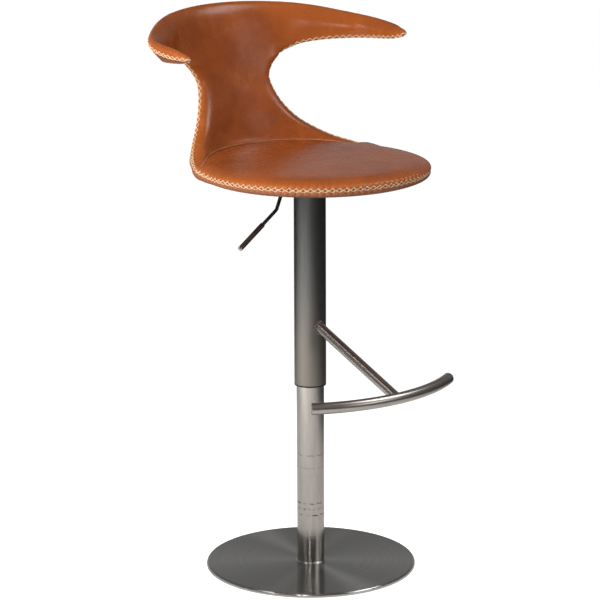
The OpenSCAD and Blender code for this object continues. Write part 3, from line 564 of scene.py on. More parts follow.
class Station:
    """The section of the back's upper band at one sweep angle: the top over the neck, or an arm."""

    def __init__(self, sweep, s=None):
        self.sweep, self.s = sweep, s
        t = self.t = clamp((abs(sweep) - CORNER_SWEEP) / (ARM_SWEEP - CORNER_SWEEP), 0, 1)
        if abs(sweep) <= CORNER_SWEEP:
            self.top = BACK_H * (1 - (1 - ARM_TOPS[0]) * (sweep / CORNER_SWEEP) ** 2)
            self.seam = self.top - BACK_H * (ARM_TOPS[0] - ARM_SEAMS[0])
        else:
            self.top, self.seam = BACK_H * self.value(ARM_TOPS), BACK_H * self.value(ARM_SEAMS)
        self.edge_h = BACK_H * self.value(ARM_LOWS)
        self.plan, self.half = self.value(ARM_PLANS), HALF_T * self.value(ARM_THICKS)
        self.edge_in = EDGE_IN * self.half * ease(t * EDGE_IN_RISE)
        self.roll = mix(NECK_ROLL, ARM_ROLL, ease(t * ROLL_RISE))
        self.bulge = ARM_BULGE * ease(t * BULGE_RISE) * ease((1 - t) * BULGE_FALL)
        if s is None:
            self.low = self.edge_h + LOW_LIFT * clamp(t * LOW_RISE, 0, 1)
        else:
            self.low = BACK_H * mix(ROW_ENDS[-1], ROW_FRONTS[-1], 1 - abs(s) ** ROW_BEND)

    def value(self, shares):
        """A share at this section, averaged over its neighbours."""
        near, part = min(BLEND, self.t, 1 - self.t), 1 / len(NEIGHBOURS)
        return sum(part * curve(STATIONS, shares, self.t + near * x) for x in NEIGHBOURS)

    def r(self, h):
        return wall_r(h) * self.plan

    def over(self, h):
        return round_in((self.top - h) / min(TOP_ROLL, (self.top - self.edge_h) * TOP_ROLL_MOST))

    def from_low(self, h):
        """How far a point is from the lower edge of the band, or from the corner of the neck."""
        if abs(self.sweep) < CORNER_SWEEP:
            return math.hypot(math.radians(CORNER_SWEEP - abs(self.sweep)) * wall_r(h),
                              h - ROW_ENDS[-1] * BACK_H)
        return h - self.edge_h

    def front(self, share):
        h = mix(self.low, self.top, share)
        inward = self.over(h) * mix(self.edge_in, self.half, rolled(self.from_low(h) / self.roll))
        inward += self.bulge * math.sin(math.pi * share) ** 2
        return at(self.sweep, self.r(h) - inward, h)

    def out(self, h):
        return self.half * self.over(h)

    def over_top(self, share):
        h = mix(self.top, self.seam, share)
        return at(self.sweep, self.r(h) + self.out(h), h)

    def outer(self, t, neck):
        h = mix(self.low if neck else self.edge_h, self.seam, t)
        plain = self.out(h) * round_in(self.from_low(h) / OUTER_ROLL)
        slant = SLANT_START + (1 - SLANT_START) * (1 - (1 - t) ** SLANT_BEND)
        slanted = mix(-self.edge_in, self.out(self.seam), slant)
        return at(self.sweep, self.r(h) + mix(plain, slanted, ease(self.t * SLANT_RISE)), h)

    def front_line(self):
        first = neck_point(LAST_ROW, self.s, True) if self.s is not None else self.front(0)
        return [first] + [self.front(x) for x in FRONT_SHARES[1:]] + [self.over_top(x) for x in OVER_SHARES]

    def outer_line(self):
        neck = self.s is not None
        first = neck_point(LAST_ROW, self.s, False) if neck else self.front(0)
        shares = [k / 8 for k in range(1, 8)] if neck else [k / 7 for k in range(0, 7)]
        return [first] + [self.outer(x, neck) for x in shares] + [self.over_top(1)]


# Grids over the shell: columns across the neck and along the arms, rows up the neck and over the band
HALF_COLS, ARM_COLS, NECK_ROWS, BAND_ROWS, RIM_COLS, SEAT_ROWS = 60, 150, 100, 36, 560, 36


def evenly(count):
    return np.arange(count + 1) / count


side_shares = 1 - evenly(HALF_COLS) ** 1.5
side_shares = np.concatenate([-side_shares, side_shares[-2::-1]])
arm_steps = np.arange(1, ARM_COLS + 1) / (ARM_COLS + 0.6)
arm_shares = [math.sin(math.pi / 2 * x) * 0.5 + x * 0.5 for x in arm_steps]
band_shares = np.array([mix(x, (1 - math.cos(math.pi * x)) / 2, 0.6) for x in evenly(BAND_ROWS)])
neck_shares = evenly(NECK_ROWS)
seat_shares = evenly(SEAT_ROWS) ** 1.6
rim_sweeps = [mix(SEAM_SWEEP, 360 - SEAM_SWEEP, i / (RIM_COLS + 1)) for i in range(1, RIM_COLS + 1)]
columns = ([Station(-mix(CORNER_SWEEP, ARM_SWEEP, x)) for x in reversed(arm_shares)]
           + [Station(CORNER_SWEEP * s, s) for s in side_shares]
           + [Station(mix(CORNER_SWEEP, ARM_SWEEP, x)) for x in arm_shares])
NECK_COLS, COLS = 2 * HALF_COLS + 1, len(columns)
LEFT, RIGHT = ARM_COLS, ARM_COLS + 2 * HALF_COLS


def back_grids(front):
    """Points of one face of the back: the neck below the band, and the band."""
    neck = np.zeros((NECK_ROWS + 1, NECK_COLS, 3))
    band = np.zeros((BAND_ROWS + 1, COLS, 3))
    for c, station in enumerate(columns):
        line = station.front_line() if front else station.outer_line()
        rows = []
        if station.s is not None:
            rows = [neck_point(j, station.s, front) for j in range(LAST_ROW)]
        points = np.array(rows + line)
        far = lengths(points)
        start = far[len(rows)]
        band[:, c] = smooth(far, points, start + (far[-1] - start) * band_shares)
        if rows:
            neck[:, c - LEFT] = smooth(far, points, start * neck_shares)
    return neck, band


def seat_line(point, w, front, skin):
    """Points from the outline of the seat to its middle, over or under it. w is 1 at the free rim."""
    centre = np.array([0, -SEAT_FWD])
    edge, line = point[2] - RIM_H, [point]
    for ring in range(1, len(RINGS)):
        inner = INNER_RINGS[ring]
        free = inner if not skin else (RINGS if front else LOW_RINGS)[ring]
        f = mix(inner, free, w)
        m = centre + (point[:2] - centre) * f
        if front:
            behind, ahead = mix(SEAT_CROWN, edge, f ** 4), mix(edge, SEAT_CROWN, RISES[ring])
            h = mix(behind, ahead, w) + SEAT_DIP * (1 - inner ** 2)
        else:
            h = mix(turned_h(np.linalg.norm(m - centre)), mix(edge, -SEAT_DEPTH, FALLS[ring]), w)
        line.append(np.array([m[0], m[1], RIM_H + h]))
    middle = SEAT_CROWN + SEAT_DIP if front else -SEAT_DEPTH
    line.append(np.array([0, -SEAT_FWD, RIM_H + middle]))
    return np.array(line)


def rim_point(sweep):
    w = ease((abs(sweep - 180) - 180 + SEAM_SWEEP + RIM_TURN) / RIM_TURN)
    return at(sweep, mix(SEAT_R, wall_r(FOOT_END_H), w), FOOT_END_H * w)


def seat_grid(front, skin):
    """Points of the top or the underside of the seat. Only the skin bulges out over its seam."""
    outline = [(neck_point(0, s, front), abs(s) ** SIDE_BEND) for s in side_shares]
    outline += [(rim_point(sweep), 1) for sweep in rim_sweeps]
    grid = np.zeros((SEAT_ROWS + 1, len(outline), 3))
    for i, (point, w) in enumerate(outline):
        line = seat_line(point, w, front, skin)
        far = lengths(line)
        grid[:, i] = smooth(far, line, far[-1] * seat_shares)
    return grid


# One skin over the whole shell: all points of the leather, each once. A point on a seam is in both faces.
skin_points = []


def add_points(grid):
    first = len(skin_points)
    skin_points.extend(grid.reshape(-1, 3))
    return np.arange(first, len(skin_points)).reshape(grid.shape[:-1])


neck_f, band_f = back_grids(True)
neck_o, band_o = back_grids(False)
fb, ob = add_points(band_f), add_points(band_o)
fn, on = add_points(neck_f), add_points(neck_o)
st, su = add_points(seat_grid(True, True)), add_points(seat_grid(False, True))
tip = at(ARM_SWEEP, columns[-1].plan * wall_r(ARM_LOWS[-1] * BACK_H), ARM_LOWS[-1] * BACK_H)
tips = add_points(np.array([tip * (-1, 1, 1), tip]))
# Shared rows and edges
fn[-1], on[-1] = fb[0, LEFT:RIGHT + 1], ob[0, LEFT:RIGHT + 1]
ob[-1] = fb[-1]
ob[0, :LEFT + 1], ob[0, RIGHT:] = fb[0, :LEFT + 1], fb[0, RIGHT:]
on[:, 0], on[:, -1] = fn[:, 0], fn[:, -1]
st[0, :NECK_COLS], su[0, :NECK_COLS] = fn[0], on[0]
su[0, NECK_COLS:] = st[0, NECK_COLS:]
st[-1], su[-1] = st[-1, 0], su[-1, 0]


def quads(grid, closed=False):
    """Faces between the rows and columns of a grid. Where its points meet, a face has three corners."""
    right = np.roll(grid, -1, axis=1) if closed else grid[:, 1:]
    left = grid if closed else grid[:, :-1]
    faces = np.stack([left[:-1], right[:-1], right[1:], left[1:]], axis=-1).reshape(-1, 4)
    return [tuple(dict.fromkeys(face)) for face in faces.tolist() if len(set(face)) > 2]


def fans(grid):
    """Faces that close the two arms at their tips."""
    ends = [(tips[0], grid[k, 0], grid[k + 1, 0]) for k in range(BAND_ROWS)]
    return ends + [(tips[1], grid[k + 1, -1], grid[k, -1]) for k in range(BAND_ROWS)]


def skin_normals(points, faces):
    """Outward normals of the closed skin, and the faces turned to match."""
    mesh = bmesh.new()
    used = sorted({i for face in faces for i in face})
    verts = {i: mesh.verts.new(points[i]) for i in used}
    for face in faces:
        mesh.faces.new([verts[i] for i in face])
    bmesh.ops.recalc_face_normals(mesh, faces=mesh.faces[:])
    mesh.normal_update()
    mesh.verts.index_update()
    point_of = {v.index: i for i, v in verts.items()}
    turned = [tuple(point_of[v.index] for v in face.verts) for face in mesh.faces]
    normals = np.zeros_like(points)
    for i, v in verts.items():
        normals[i] = v.normal
    mesh.free()
    return normals, turned


front_faces = quads(fn) + quads(fb) + fans(fb)
outer_faces = quads(on) + quads(ob) + fans(ob)
top_faces, under_faces = quads(st, True), quads(su, True)
place = np.array(skin_points)
cuts = np.cumsum([len(front_faces), len(outer_faces), len(top_faces), len(under_faces)])
normals, turned = skin_normals(place, front_faces + outer_faces + top_faces + under_faces)
front_faces, outer_faces, top_faces, under_faces = (
    turned[:cuts[0]], turned[cuts[0]:cuts[1]], turned[cuts[1]:cuts[2]], turned[cuts[2]:])

# The stitched seam is one loop: rim of the seat, neck, under the arm, round its tip, over the back, and
# down again. Each entry holds the point on the seam, and the rows that lead away from it on both faces.
seam_loop = (
    [(st[0, i], st[:, i], su[:, i]) for i in range(NECK_COLS, NECK_COLS + RIM_COLS)]
    + [(fn[r, 0], fn[r, :], on[r, :]) for r in range(NECK_ROWS + 1)]
    + [(fb[0, c], fb[:, c], ob[:, c]) for c in range(LEFT - 1, -1, -1)]
    + [(fb[-1, c], fb[::-1, c], ob[::-1, c]) for c in range(COLS)]
    + [(fb[0, c], fb[:, c], ob[:, c]) for c in range(COLS - 1, RIGHT, -1)]
    + [(fn[r, -1], fn[r, ::-1], on[r, ::-1]) for r in range(NECK_ROWS, -1, -1)])
loop_ids = np.array([row[0] for row in seam_loop])
loop_place = place[loop_ids]
loop_far = np.concatenate([[0], np.cumsum(np.linalg.norm(np.diff(loop_place, axis=0), axis=1))])
loop_len = loop_far[-1] + np.linalg.norm(loop_place[0] - loop_place[-1])

# How long a cross stitch is, and how far its holes are from the seam, in millimetres
STITCH_LONG, STITCH_OUT = 13.4, 4.3
STITCHES = round(loop_len / STITCH_LONG)
PITCH = loop_len / STITCHES
draw = random.Random(7)
stitch_pull = [draw.uniform(0.65, 1.25) for _ in range(STITCHES)]

# How the leather is drawn in along the seam, in millimetres: a groove, a dent at each hole, a fold that
# runs out of it, and a soft swelling behind. The pull is stronger along the rim of the seat.
GROOVE_DEEP, GROOVE_WIDE = 0.45, 1.5
DENT_DEEP, DENT_WIDE, DENT_SHARP = 0.7, 2.0, 5
FOLD_DEEP, FOLD_LONG, FOLD_SHARP = 0.9, 9, 4
PUFF_FAR, PUFF_WIDE, CLEAR_OF_SEAM = 7, 6, 3
RIM_PULL, OTHER_PULL, RIM_PUFF, OTHER_PUFF = 2.2, 0.45, 1.2, 0.1
OUTER_SHARE = 0.5
# The seam at the foot of the back
FOOT_GROOVE_DEEP, FOOT_GROOVE_WIDE = 1.0, 1.8
FOOT_PUFF, FOOT_PUFF_FAR, FOOT_PUFF_WIDE = 0.4, 6, 4
# How far the painted edge highlight and the painted shade line in a seam reach
EDGE_HIGHLIGHT_WIDE, SEAM_SHADE_SHARE, SEAM_SHADE_WIDE = 16, 0.6, 1.2

# Distances from the seam. The lower seams and the upper seam are searched apart, as an arm lies between.
upper_start = RIM_COLS + NECK_ROWS + 1 + LEFT
upper = range(upper_start, upper_start + COLS)
lower = [i for i in range(len(loop_ids)) if not upper_start <= i < upper_start + COLS]


def nearest(rows):
    """How far each point of the skin is from some rows of the loop, and where the nearest row is on it."""
    tree = KDTree(len(rows))
    for i in rows:
        tree.insert(loop_place[i], i)
    tree.balance()
    found = [tree.find(p) for p in place]
    return np.array([f[2] for f in found]), loop_far[[f[1] for f in found]]


def hump(far, middle, wide):
    """1 at a distance from the seam, and fading to both sides of it."""
    return np.exp(-((far - middle) / wide) ** 2)


def pulled(far, along):
    """How far the stitches move the leather out, and how much shade is painted into the dent at each hole.
    """
    stitch = (along / PITCH).astype(int) % STITCHES
    rim = along < loop_far[RIM_COLS]
    force = np.array(stitch_pull)[stitch] * np.where(rim, RIM_PULL, OTHER_PULL)
    hole = (1 + np.cos(2 * math.pi * along / PITCH)) / 2
    clear = np.clip(far / CLEAR_OF_SEAM, 0, 1)
    hole_mark = hole ** DENT_SHARP * hump(far, STITCH_OUT, DENT_WIDE)
    groove = -GROOVE_DEEP * hump(far, 0, GROOVE_WIDE)
    dent = -DENT_DEEP * force * hole_mark
    fold = -FOLD_DEEP * force * hole ** FOLD_SHARP * np.exp(-far / FOLD_LONG) * clear
    puff = np.where(rim, RIM_PUFF, OTHER_PUFF) * hump(far, PUFF_FAR, PUFF_WIDE) * clear
    return (groove + dent + fold + puff) * padding, np.clip(hole_mark, 0, 1)


# The padded faces are drawn into deeper folds than the outer ones.
padding = np.full(len(place), 1.0)
padding[np.concatenate([ob[1:-1].ravel(), on.ravel()])] = OUTER_SHARE
far_low, along_low = nearest(lower)
far_up, along_up = nearest(upper)
# The second value of each is painted shade in the dents at the stitch holes.
move_low, hole_shade_low = pulled(far_low, along_low)
move_up, hole_shade_up = pulled(far_up, along_up)
foot_tree = KDTree(NECK_COLS)
for c, i in enumerate(fn[0]):
    foot_tree.insert(place[i], c)
foot_tree.balance()
far_foot = np.array([foot_tree.find(p)[2] for p in place])
far_seam = np.minimum(far_low, far_up)
move_foot = (FOOT_PUFF * hump(far_foot, FOOT_PUFF_FAR, FOOT_PUFF_WIDE)
             - FOOT_GROOVE_DEEP * hump(far_foot, 0, FOOT_GROOVE_WIDE))
shaped = place + normals * (move_low + move_up + move_foot)[:, None]
# Painted highlight: how strongly the leather is made paler near a seam.
edge_highlight_mark = np.clip(np.exp(-far_seam / EDGE_HIGHLIGHT_WIDE), 0, 1)
# Painted shade along the grooves of the seams and of the foot of the back, added to the shade at the holes.
seam_shade_lines = SEAM_SHADE_SHARE * (hump(far_seam, 0, SEAM_SHADE_WIDE) + hump(far_foot, 0, SEAM_SHADE_WIDE))
crease_shade_mark = np.clip(hole_shade_low + hole_shade_up + seam_shade_lines, 0, 1)

# The point of the other face of the back that lies behind each point
partner = np.arange(len(place))
for a, b in ((fb, ob), (fn, on)):
    partner[a.ravel()], partner[b.ravel()] = b.ravel(), a.ravel()


# Pieces from faces
SAME_PLACE, SLAB_ANGLE = 1e-4, 50
# Layers of the boards, as shares of the thickness, and how far the boards end inside the seam
BOARD_LAYERS, BOARD_GAP = (0.34, 0.13), 6
# How far in the groove of the seam still shapes the inner faces of the seat
INNER_FADE = 4


def bare_selection():
    if bpy.context.object and bpy.context.object.mode != "OBJECT":
        bpy.ops.object.mode_set(mode="OBJECT")
    bpy.ops.object.select_all(action="DESELECT")


def select_only(piece):
    bare_selection()
    piece.select_set(True)
    bpy.context.view_layer.objects.active = piece


def settle(piece, finish, body, slot, *replaced):
    """Gives a finished piece its material, hangs it on the body it rides on, and hides the parts that it
    stands in for.
    """
    piece.data.materials.clear()
    piece.data.materials.append(FINISHES[finish])
    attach(piece, body)
    if replaced:
        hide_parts(*replaced)
    return piece


def slab(name, faces, outside, inside):
    """A closed piece between two faces. Points that are in the same place in both are one point."""
    outer_id, inner_id, points, source = {}, {}, [], []
    for i in sorted({i for face in faces for i in face}):
        outer_id[i] = inner_id[i] = len(points)
        points.append(outside[i])
        source.append(i)
        if np.linalg.norm(outside[i] - inside[i]) >= SAME_PLACE:
            inner_id[i] = len(points)
            points.append(inside[i])
            source.append(i)
    edges = dict.fromkeys(pair for face in faces for pair in zip(face, face[1:] + face[:1]))
    made = [[outer_id[i] for i in face] for face in faces]
    made += [[inner_id[i] for i in reversed(face)] for face in faces]
    for a, b in edges:
        if (b, a) not in edges:
            wall = list(dict.fromkeys([outer_id[b], outer_id[a], inner_id[a], inner_id[b]]))
            if len(wall) > 2:
                made.append(wall)
    mesh = bpy.data.meshes.new(name)
    mesh.from_pydata([tuple(p * MM) for p in points], [], made)
    # The edge attribute carries the painted highlight, and the pull attribute carries the painted shade.
    for mark, values in (("edge", edge_highlight_mark), ("pull", crease_shade_mark)):
        layer = mesh.attributes.new(mark, "FLOAT", "POINT")
        layer.data.foreach_set("value", values[source].astype(np.float32))
    mesh.validate()
    mesh.update()
    piece = bpy.data.objects.new(name, mesh)
    bpy.context.scene.collection.objects.link(piece)
    select_only(piece)
    bpy.ops.object.shade_smooth_by_angle(angle=math.radians(SLAB_ANGLE))
    return piece


def back_layer(share):
    """Points of either face of the back, moved towards the other face. At a share of 1 they stay."""
    return shaped[partner] * (1 - share) + shaped * share


# Inner faces of the seat: they stay inside the rim, and follow the groove of the seam.
top_in, under_in = seat_grid(True, False), seat_grid(False, False)


def seat_layer(ids, share):
    """Points of a face of the seat, moved to this share of the thickness. 1 is the top."""
    inside = shaped.copy()
    between = under_in * (1 - share) + top_in * share
    groove = (shaped - place)[ids[0]]
    fade = np.exp(-np.linalg.norm(between - between[0], axis=2) / INNER_FADE)
    inside[ids[1:].ravel()] = (between + groove[None] * fade[:, :, None])[1:].reshape(-1, 3)
    rear = ids[0, :NECK_COLS]
    inside[rear] = shaped[on[0]] * (1 - share) + shaped[fn[0]] * share
    return inside


def board_faces(faces):
    """The faces that are clear of every seam."""
    clear = np.minimum(far_seam, far_foot)
    return [face for face in faces if min(clear[i] for i in face) > BOARD_GAP]


back_leather = slab("back_leather", front_faces, shaped, back_layer(CORE_SHARE))
settle(back_leather, "cognac_leather", "seat_body", "cognac_leather", "back_pad")
back_outside = slab("back_outside", outer_faces, shaped, back_layer(1 - COVER_SHARE))
settle(back_outside, "under_leather", "seat_body", "under_leather", "back_cover")
seat_leather = slab("seat_leather", top_faces, shaped, seat_layer(st, CORE_SHARE))
settle(seat_leather, "cognac_leather", "seat_body", "cognac_leather", "seat_pad")
seat_underside = slab("seat_underside", under_faces, shaped, seat_layer(su, COVER_SHARE))
settle(seat_underside, "under_leather", "seat_body", "under_leather", "seat_undercover")
back_board = slab("back_board", board_faces(front_faces), *[back_layer(share) for share in BOARD_LAYERS])
settle(back_board, "birch_ply", "seat_body", "birch_ply", "back_core")
seat_board = slab("seat_ply", board_faces(top_faces), *[seat_layer(st, share) for share in BOARD_LAYERS])
settle(seat_board, "birch_ply", "seat_body", "birch_ply", "seat_board")

# Stitches, in millimetres
CROSS_R, CROSS_HALF, CROSS_POINTS = 0.88, 0.49, 9
# A thread of a cross stitch: shares of its length, of its reach out from the seam, and its height there
CROSS_SHARES = [0.02, 0.14, 0.30, 0.70, 0.86, 0.98]
CROSS_OUTS = [1, 0.72, 0.42, 0.42, 0.72, 1]
CROSS_LIFTS = [-0.9, 0.2, 0.25, 0.25, 0.2, -0.9]
# The seam at the foot of the back: its thread, the length of a stitch, how high it is above the seat, where
# it ends before the corners, and the first and last shares of a stitch
FOOT_THREAD_R, FOOT_STITCH, FOOT_STITCH_UP, FOOT_STITCH_END = 0.5, 4.6, 4.0, 4
FOOT_STITCH_FROM, FOOT_STITCH_TO, FOOT_THREAD_LIFT = 0.08, 0.86, 0.15
FOOT_BOW = np.array([-0.45, 0.18, 0.28, 0.18, -0.45])
# How many rows of the grid a search along them takes
WALK_ROWS, FOOT_ROWS, FOOT_NORMAL_ROW = 24, 12, 3


def walk(ids, far):
    """The point on the skin at a distance from the seam, along a row of the grid."""
    points = shaped[ids[:WALK_ROWS]]
    run = lengths(points)
    return smooth(run, points, min(far, run[-1] * 0.9))[0]


def loop_index(along):
    return int(np.searchsorted(loop_far, along % loop_len, side="right") - 1)


def on_seam(along, far, front):
    """A point beside the seam: how far along the loop, and how far out on the front or the outer face."""
    along = along % loop_len
    i = loop_index(along)
    k = (i + 1) % len(loop_ids)
    gap = (loop_far[i + 1] if k else loop_len) - loop_far[i]
    side = 1 if front else 2
    return mix(walk(seam_loop[i][side], far), walk(seam_loop[k][side], far), (along - loop_far[i]) / gap)


def threads(name, paths, radius):
    """Many short threads as one piece. Each is a round cord with closed ends."""
    data = bpy.data.curves.new(name, "CURVE")
    data.dimensions = "3D"
    data.bevel_depth = radius * MM
    data.bevel_resolution = 1
    data.use_fill_caps = True
    for path in paths:
        spline = data.splines.new("POLY")
        spline.points.add(len(path) - 1)
        for point, p in zip(spline.points, path):
            point.co = (*(p * MM), 1)
    piece = bpy.data.objects.new(name, data)
    bpy.context.scene.collection.objects.link(piece)
    select_only(piece)
    bpy.ops.object.convert(target="MESH")
    bpy.ops.object.shade_smooth()
    return bpy.context.object


def cross_thread(middle, slope):
    """One thread of a cross: out of a hole in the front face, over the seam, into one in the outer face."""
    start, end = middle - slope * CROSS_HALF * PITCH, middle + slope * CROSS_HALF * PITCH
    out = normals[loop_ids[loop_index(middle)]]
    points = np.array([on_seam(mix(start, end, share), STITCH_OUT * reach, share < 0.5) + out * lift
                       for share, reach, lift in zip(CROSS_SHARES, CROSS_OUTS, CROSS_LIFTS)])
    far = lengths(points)
    return smooth(far, points, np.linspace(0, far[-1], CROSS_POINTS))


def foot_threads():
    """The single stitches on the back, just above its seam with the seat."""
    first, last = FOOT_STITCH_END, NECK_COLS - FOOT_STITCH_END
    line_normals = normals[fn[FOOT_NORMAL_ROW, first:last]]
    line = []
    for c in range(first, last):
        column = shaped[fn[:FOOT_ROWS, c]]
        line.append(smooth(lengths(column), column, FOOT_STITCH_UP)[0])
    line = np.array(line) + line_normals * FOOT_THREAD_LIFT
    far = lengths(line)
    count = round(far[-1] / FOOT_STITCH)
    paths = []
    for n in range(count):
        span = np.linspace(n + FOOT_STITCH_FROM, n + FOOT_STITCH_TO, len(FOOT_BOW)) / count * far[-1]
        nearby = np.clip(np.searchsorted(far, span), 0, len(line) - 1)
        paths.append(smooth(far, line, span) + line_normals[nearby] * FOOT_BOW[:, None])
    return paths


middles = [(n + 0.5) * PITCH for n in range(STITCHES)]
crosses = [cross_thread(middle, slope) for middle in middles for slope in (1, -1)]
cross_stitches = threads("cross_stitches", crosses, CROSS_R)
settle(cross_stitches, "cream_thread", "seat_body", "cognac_leather")
seat_stitching = threads("seat_stitching", foot_threads(), FOOT_THREAD_R)
settle(seat_stitching, "tan_thread", "seat_body", "cognac_leather")


# Turned and welded pieces, in millimetres
GRIP_START, GRIP_AXIS = Vector((-115, 0, 707)), Vector((-0.809, 0, -0.588))
GRIP_LEN, GRIP_R, ROD_R, GRIP_ROUND = 66, 5, 3.5, 1.3
TIP_START = GRIP_START + GRIP_AXIS * GRIP_LEN
TIP_LEN, TIP_R, TIP_ROUND = 5.4, 4.9, 3.6
ARM_AXIS_H, ARM_TILT, ARM_R, COVER_R = 503.6, math.radians(21.95), 10, 31.2
ARM_BEAD_OUT, ARM_BEAD_R, ARM_RIPPLES, ARM_RIPPLE_DEEP = 0.7, 2.3, 21, 0.14
FOOT_BEAD_OUT, FOOT_BEAD_R, FOOT_BEAD_H, FOOT_RIPPLES, FOOT_RIPPLE_DEEP = 27.7, 1.5, 9.0, 34, 0.10
NEAR = 0.1


def rod_piece(name, start, axis, length, radius, sides=48):
    """A round bar along an axis, to be shaped further."""
    bare_selection()
    bpy.ops.mesh.primitive_cylinder_add(vertices=sides, radius=radius * MM, depth=length * MM,
                                        location=(start + axis * length / 2) * MM,
                                        rotation=axis.to_track_quat("Z", "Y").to_euler())
    bpy.context.object.name = name
    bpy.ops.object.transform_apply(location=True, rotation=True, scale=True)
    return bpy.context.object


def pick(piece, kind, chosen):
    """Selects the faces or edges of a piece that a test chooses, and stays in edit mode."""
    bpy.ops.object.mode_set(mode="EDIT")
    bpy.ops.mesh.select_mode(type=kind)
    mesh = bmesh.from_edit_mesh(piece.data)
    for item in [*mesh.verts, *mesh.edges, *mesh.faces]:
        item.select = False
    for item in (mesh.faces if kind == "FACE" else mesh.edges):
        item.select_set(bool(chosen(item)))
    bmesh.update_edit_mesh(piece.data)


def along_axis(v, start, axis):
    """How far along an axis a corner is."""
    return (v.co / MM - start).dot(axis)


def smoothed(piece, angle=40):
    bpy.ops.object.mode_set(mode="OBJECT")
    bpy.ops.object.shade_smooth_by_angle(angle=math.radians(angle))
    return piece


def end_face(face):
    return len(face.verts) > 4


def grip_rim(edge):
    """Whether an edge runs round an outer end of the grip."""
    far = [along_axis(v, GRIP_START, GRIP_AXIS) for v in edge.verts]
    out = [(v.co / MM - GRIP_START - GRIP_AXIS * a).length for v, a in zip(edge.verts, far)]
    return min(out) > GRIP_R - NEAR and abs(far[0] - far[1]) < 1


def tip_rim(edge):
    """Whether an edge runs round the outer end of the tip."""
    return min(along_axis(v, TIP_START, GRIP_AXIS) for v in edge.verts) > TIP_LEN - NEAR


# The grip is a sleeve over the rod, rounded at both ends.
grip = rod_piece("grip_sleeve", GRIP_START, GRIP_AXIS, GRIP_LEN, GRIP_R)
pick(grip, "FACE", end_face)
bpy.ops.mesh.inset(thickness=(GRIP_R - ROD_R) * MM, depth=0, use_individual=True)
pick(grip, "FACE", end_face)
bpy.ops.mesh.bridge_edge_loops()
pick(grip, "EDGE", grip_rim)
bpy.ops.mesh.bevel(offset=GRIP_ROUND * MM, segments=5, profile=0.5)
settle(smoothed(grip), "grip_rubber", "lever_body", "grip_rubber", "lever_grip")

# The chromed tip is a short bar whose outer end is rounded to a dome.
dome = rod_piece("dome_tip", TIP_START, GRIP_AXIS, TIP_LEN, TIP_R)
pick(dome, "EDGE", tip_rim)
bpy.ops.mesh.bevel(offset=TIP_ROUND * MM, segments=8, profile=0.5)
settle(smoothed(dome, 60), "polished_steel", "lever_body", "polished_steel", "lever_tip")


def bead(name, major, minor, ripples, depth, lay):
    """A weld bead: a ring with ripples, laid onto its joint by a function."""
    bare_selection()
    bpy.ops.mesh.primitive_torus_add(major_segments=144, minor_segments=16,
                                     major_radius=major * MM, minor_radius=minor * MM)
    piece = bpy.context.object
    piece.name = name
    for v in piece.data.vertices:
        x, y, z = v.co / MM
        turn, out = math.atan2(y, x), math.hypot(x, y)
        ripple = depth * math.sin(ripples * turn + 1.3 * math.sin(3 * turn))
        swell = 0.5 * depth * math.sin(5 * turn + 1)
        wave = 1 + ripple + swell
        out = major + (out - major) * wave
        v.co = lay(out * math.cos(turn), out * math.sin(turn), z * wave) * MM
    bpy.ops.object.shade_smooth()
    return piece


def on_cover(x, y, z):
    """Lays a flat ring round the footrest's arm onto the round cover tube."""
    across = Vector((0, -math.sin(ARM_TILT), math.cos(ARM_TILT)))
    axis = Vector((0, -math.cos(ARM_TILT), -math.sin(ARM_TILT)))
    far = (math.sqrt(COVER_R ** 2 - x * x) - y * math.sin(ARM_TILT)) / math.cos(ARM_TILT)
    return Vector((x, 0, ARM_AXIS_H)) + across * y + axis * (far + z)


def on_base(x, y, z):
    return Vector((x, y, FOOT_BEAD_H + z))


arm_bead = bead("arm_bead", ARM_R + ARM_BEAD_OUT, ARM_BEAD_R, ARM_RIPPLES, ARM_RIPPLE_DEEP, on_cover)
settle(arm_bead, "weld_steel", "seat_body", "raw_steel", "arm_weld")
foot_bead = bead("foot_bead", FOOT_BEAD_OUT, FOOT_BEAD_R, FOOT_RIPPLES, FOOT_RIPPLE_DEEP, on_base)
settle(foot_bead, "polished_steel", "base_body", "polished_steel", "foot_ring")

# Studio, in metres. The sheet is the pale part of the floor under the stool.
FLOOR_SIZE, SHEET_X, SHEET_R, SHEET_END_R = 80, -1.1, 1.7, 2.3
# Beyond the sheet the floor is dark: painted shade that stands in for the floor where the lamps' light
# falls off, which the metal reflects.
SHEET_PALE, SHEET_GREY, SHADE_BEYOND_SHEET = (0.64, 0.635, 0.625), (0.60, 0.595, 0.585), (0.12, 0.12, 0.12)
# A painted glow that the sheet gives off for reflections only, which metal shows: little near the stool,
# and more far to its left
GLOW_NEAR, GLOW_MORE, GLOW_FROM, GLOW_TO = 0.12, 0.6, 0.9, 2.0
# How bright the world is all round, and in a low band behind the stool
WORLD_DIM, WORLD_BAND = 0.11, 0.42
BAND_BACK, BAND_TOP = (0.1, 0.9), (0.26, 0.38)
BLACK, WHITE = (0, 0, 0), (1, 1, 1)


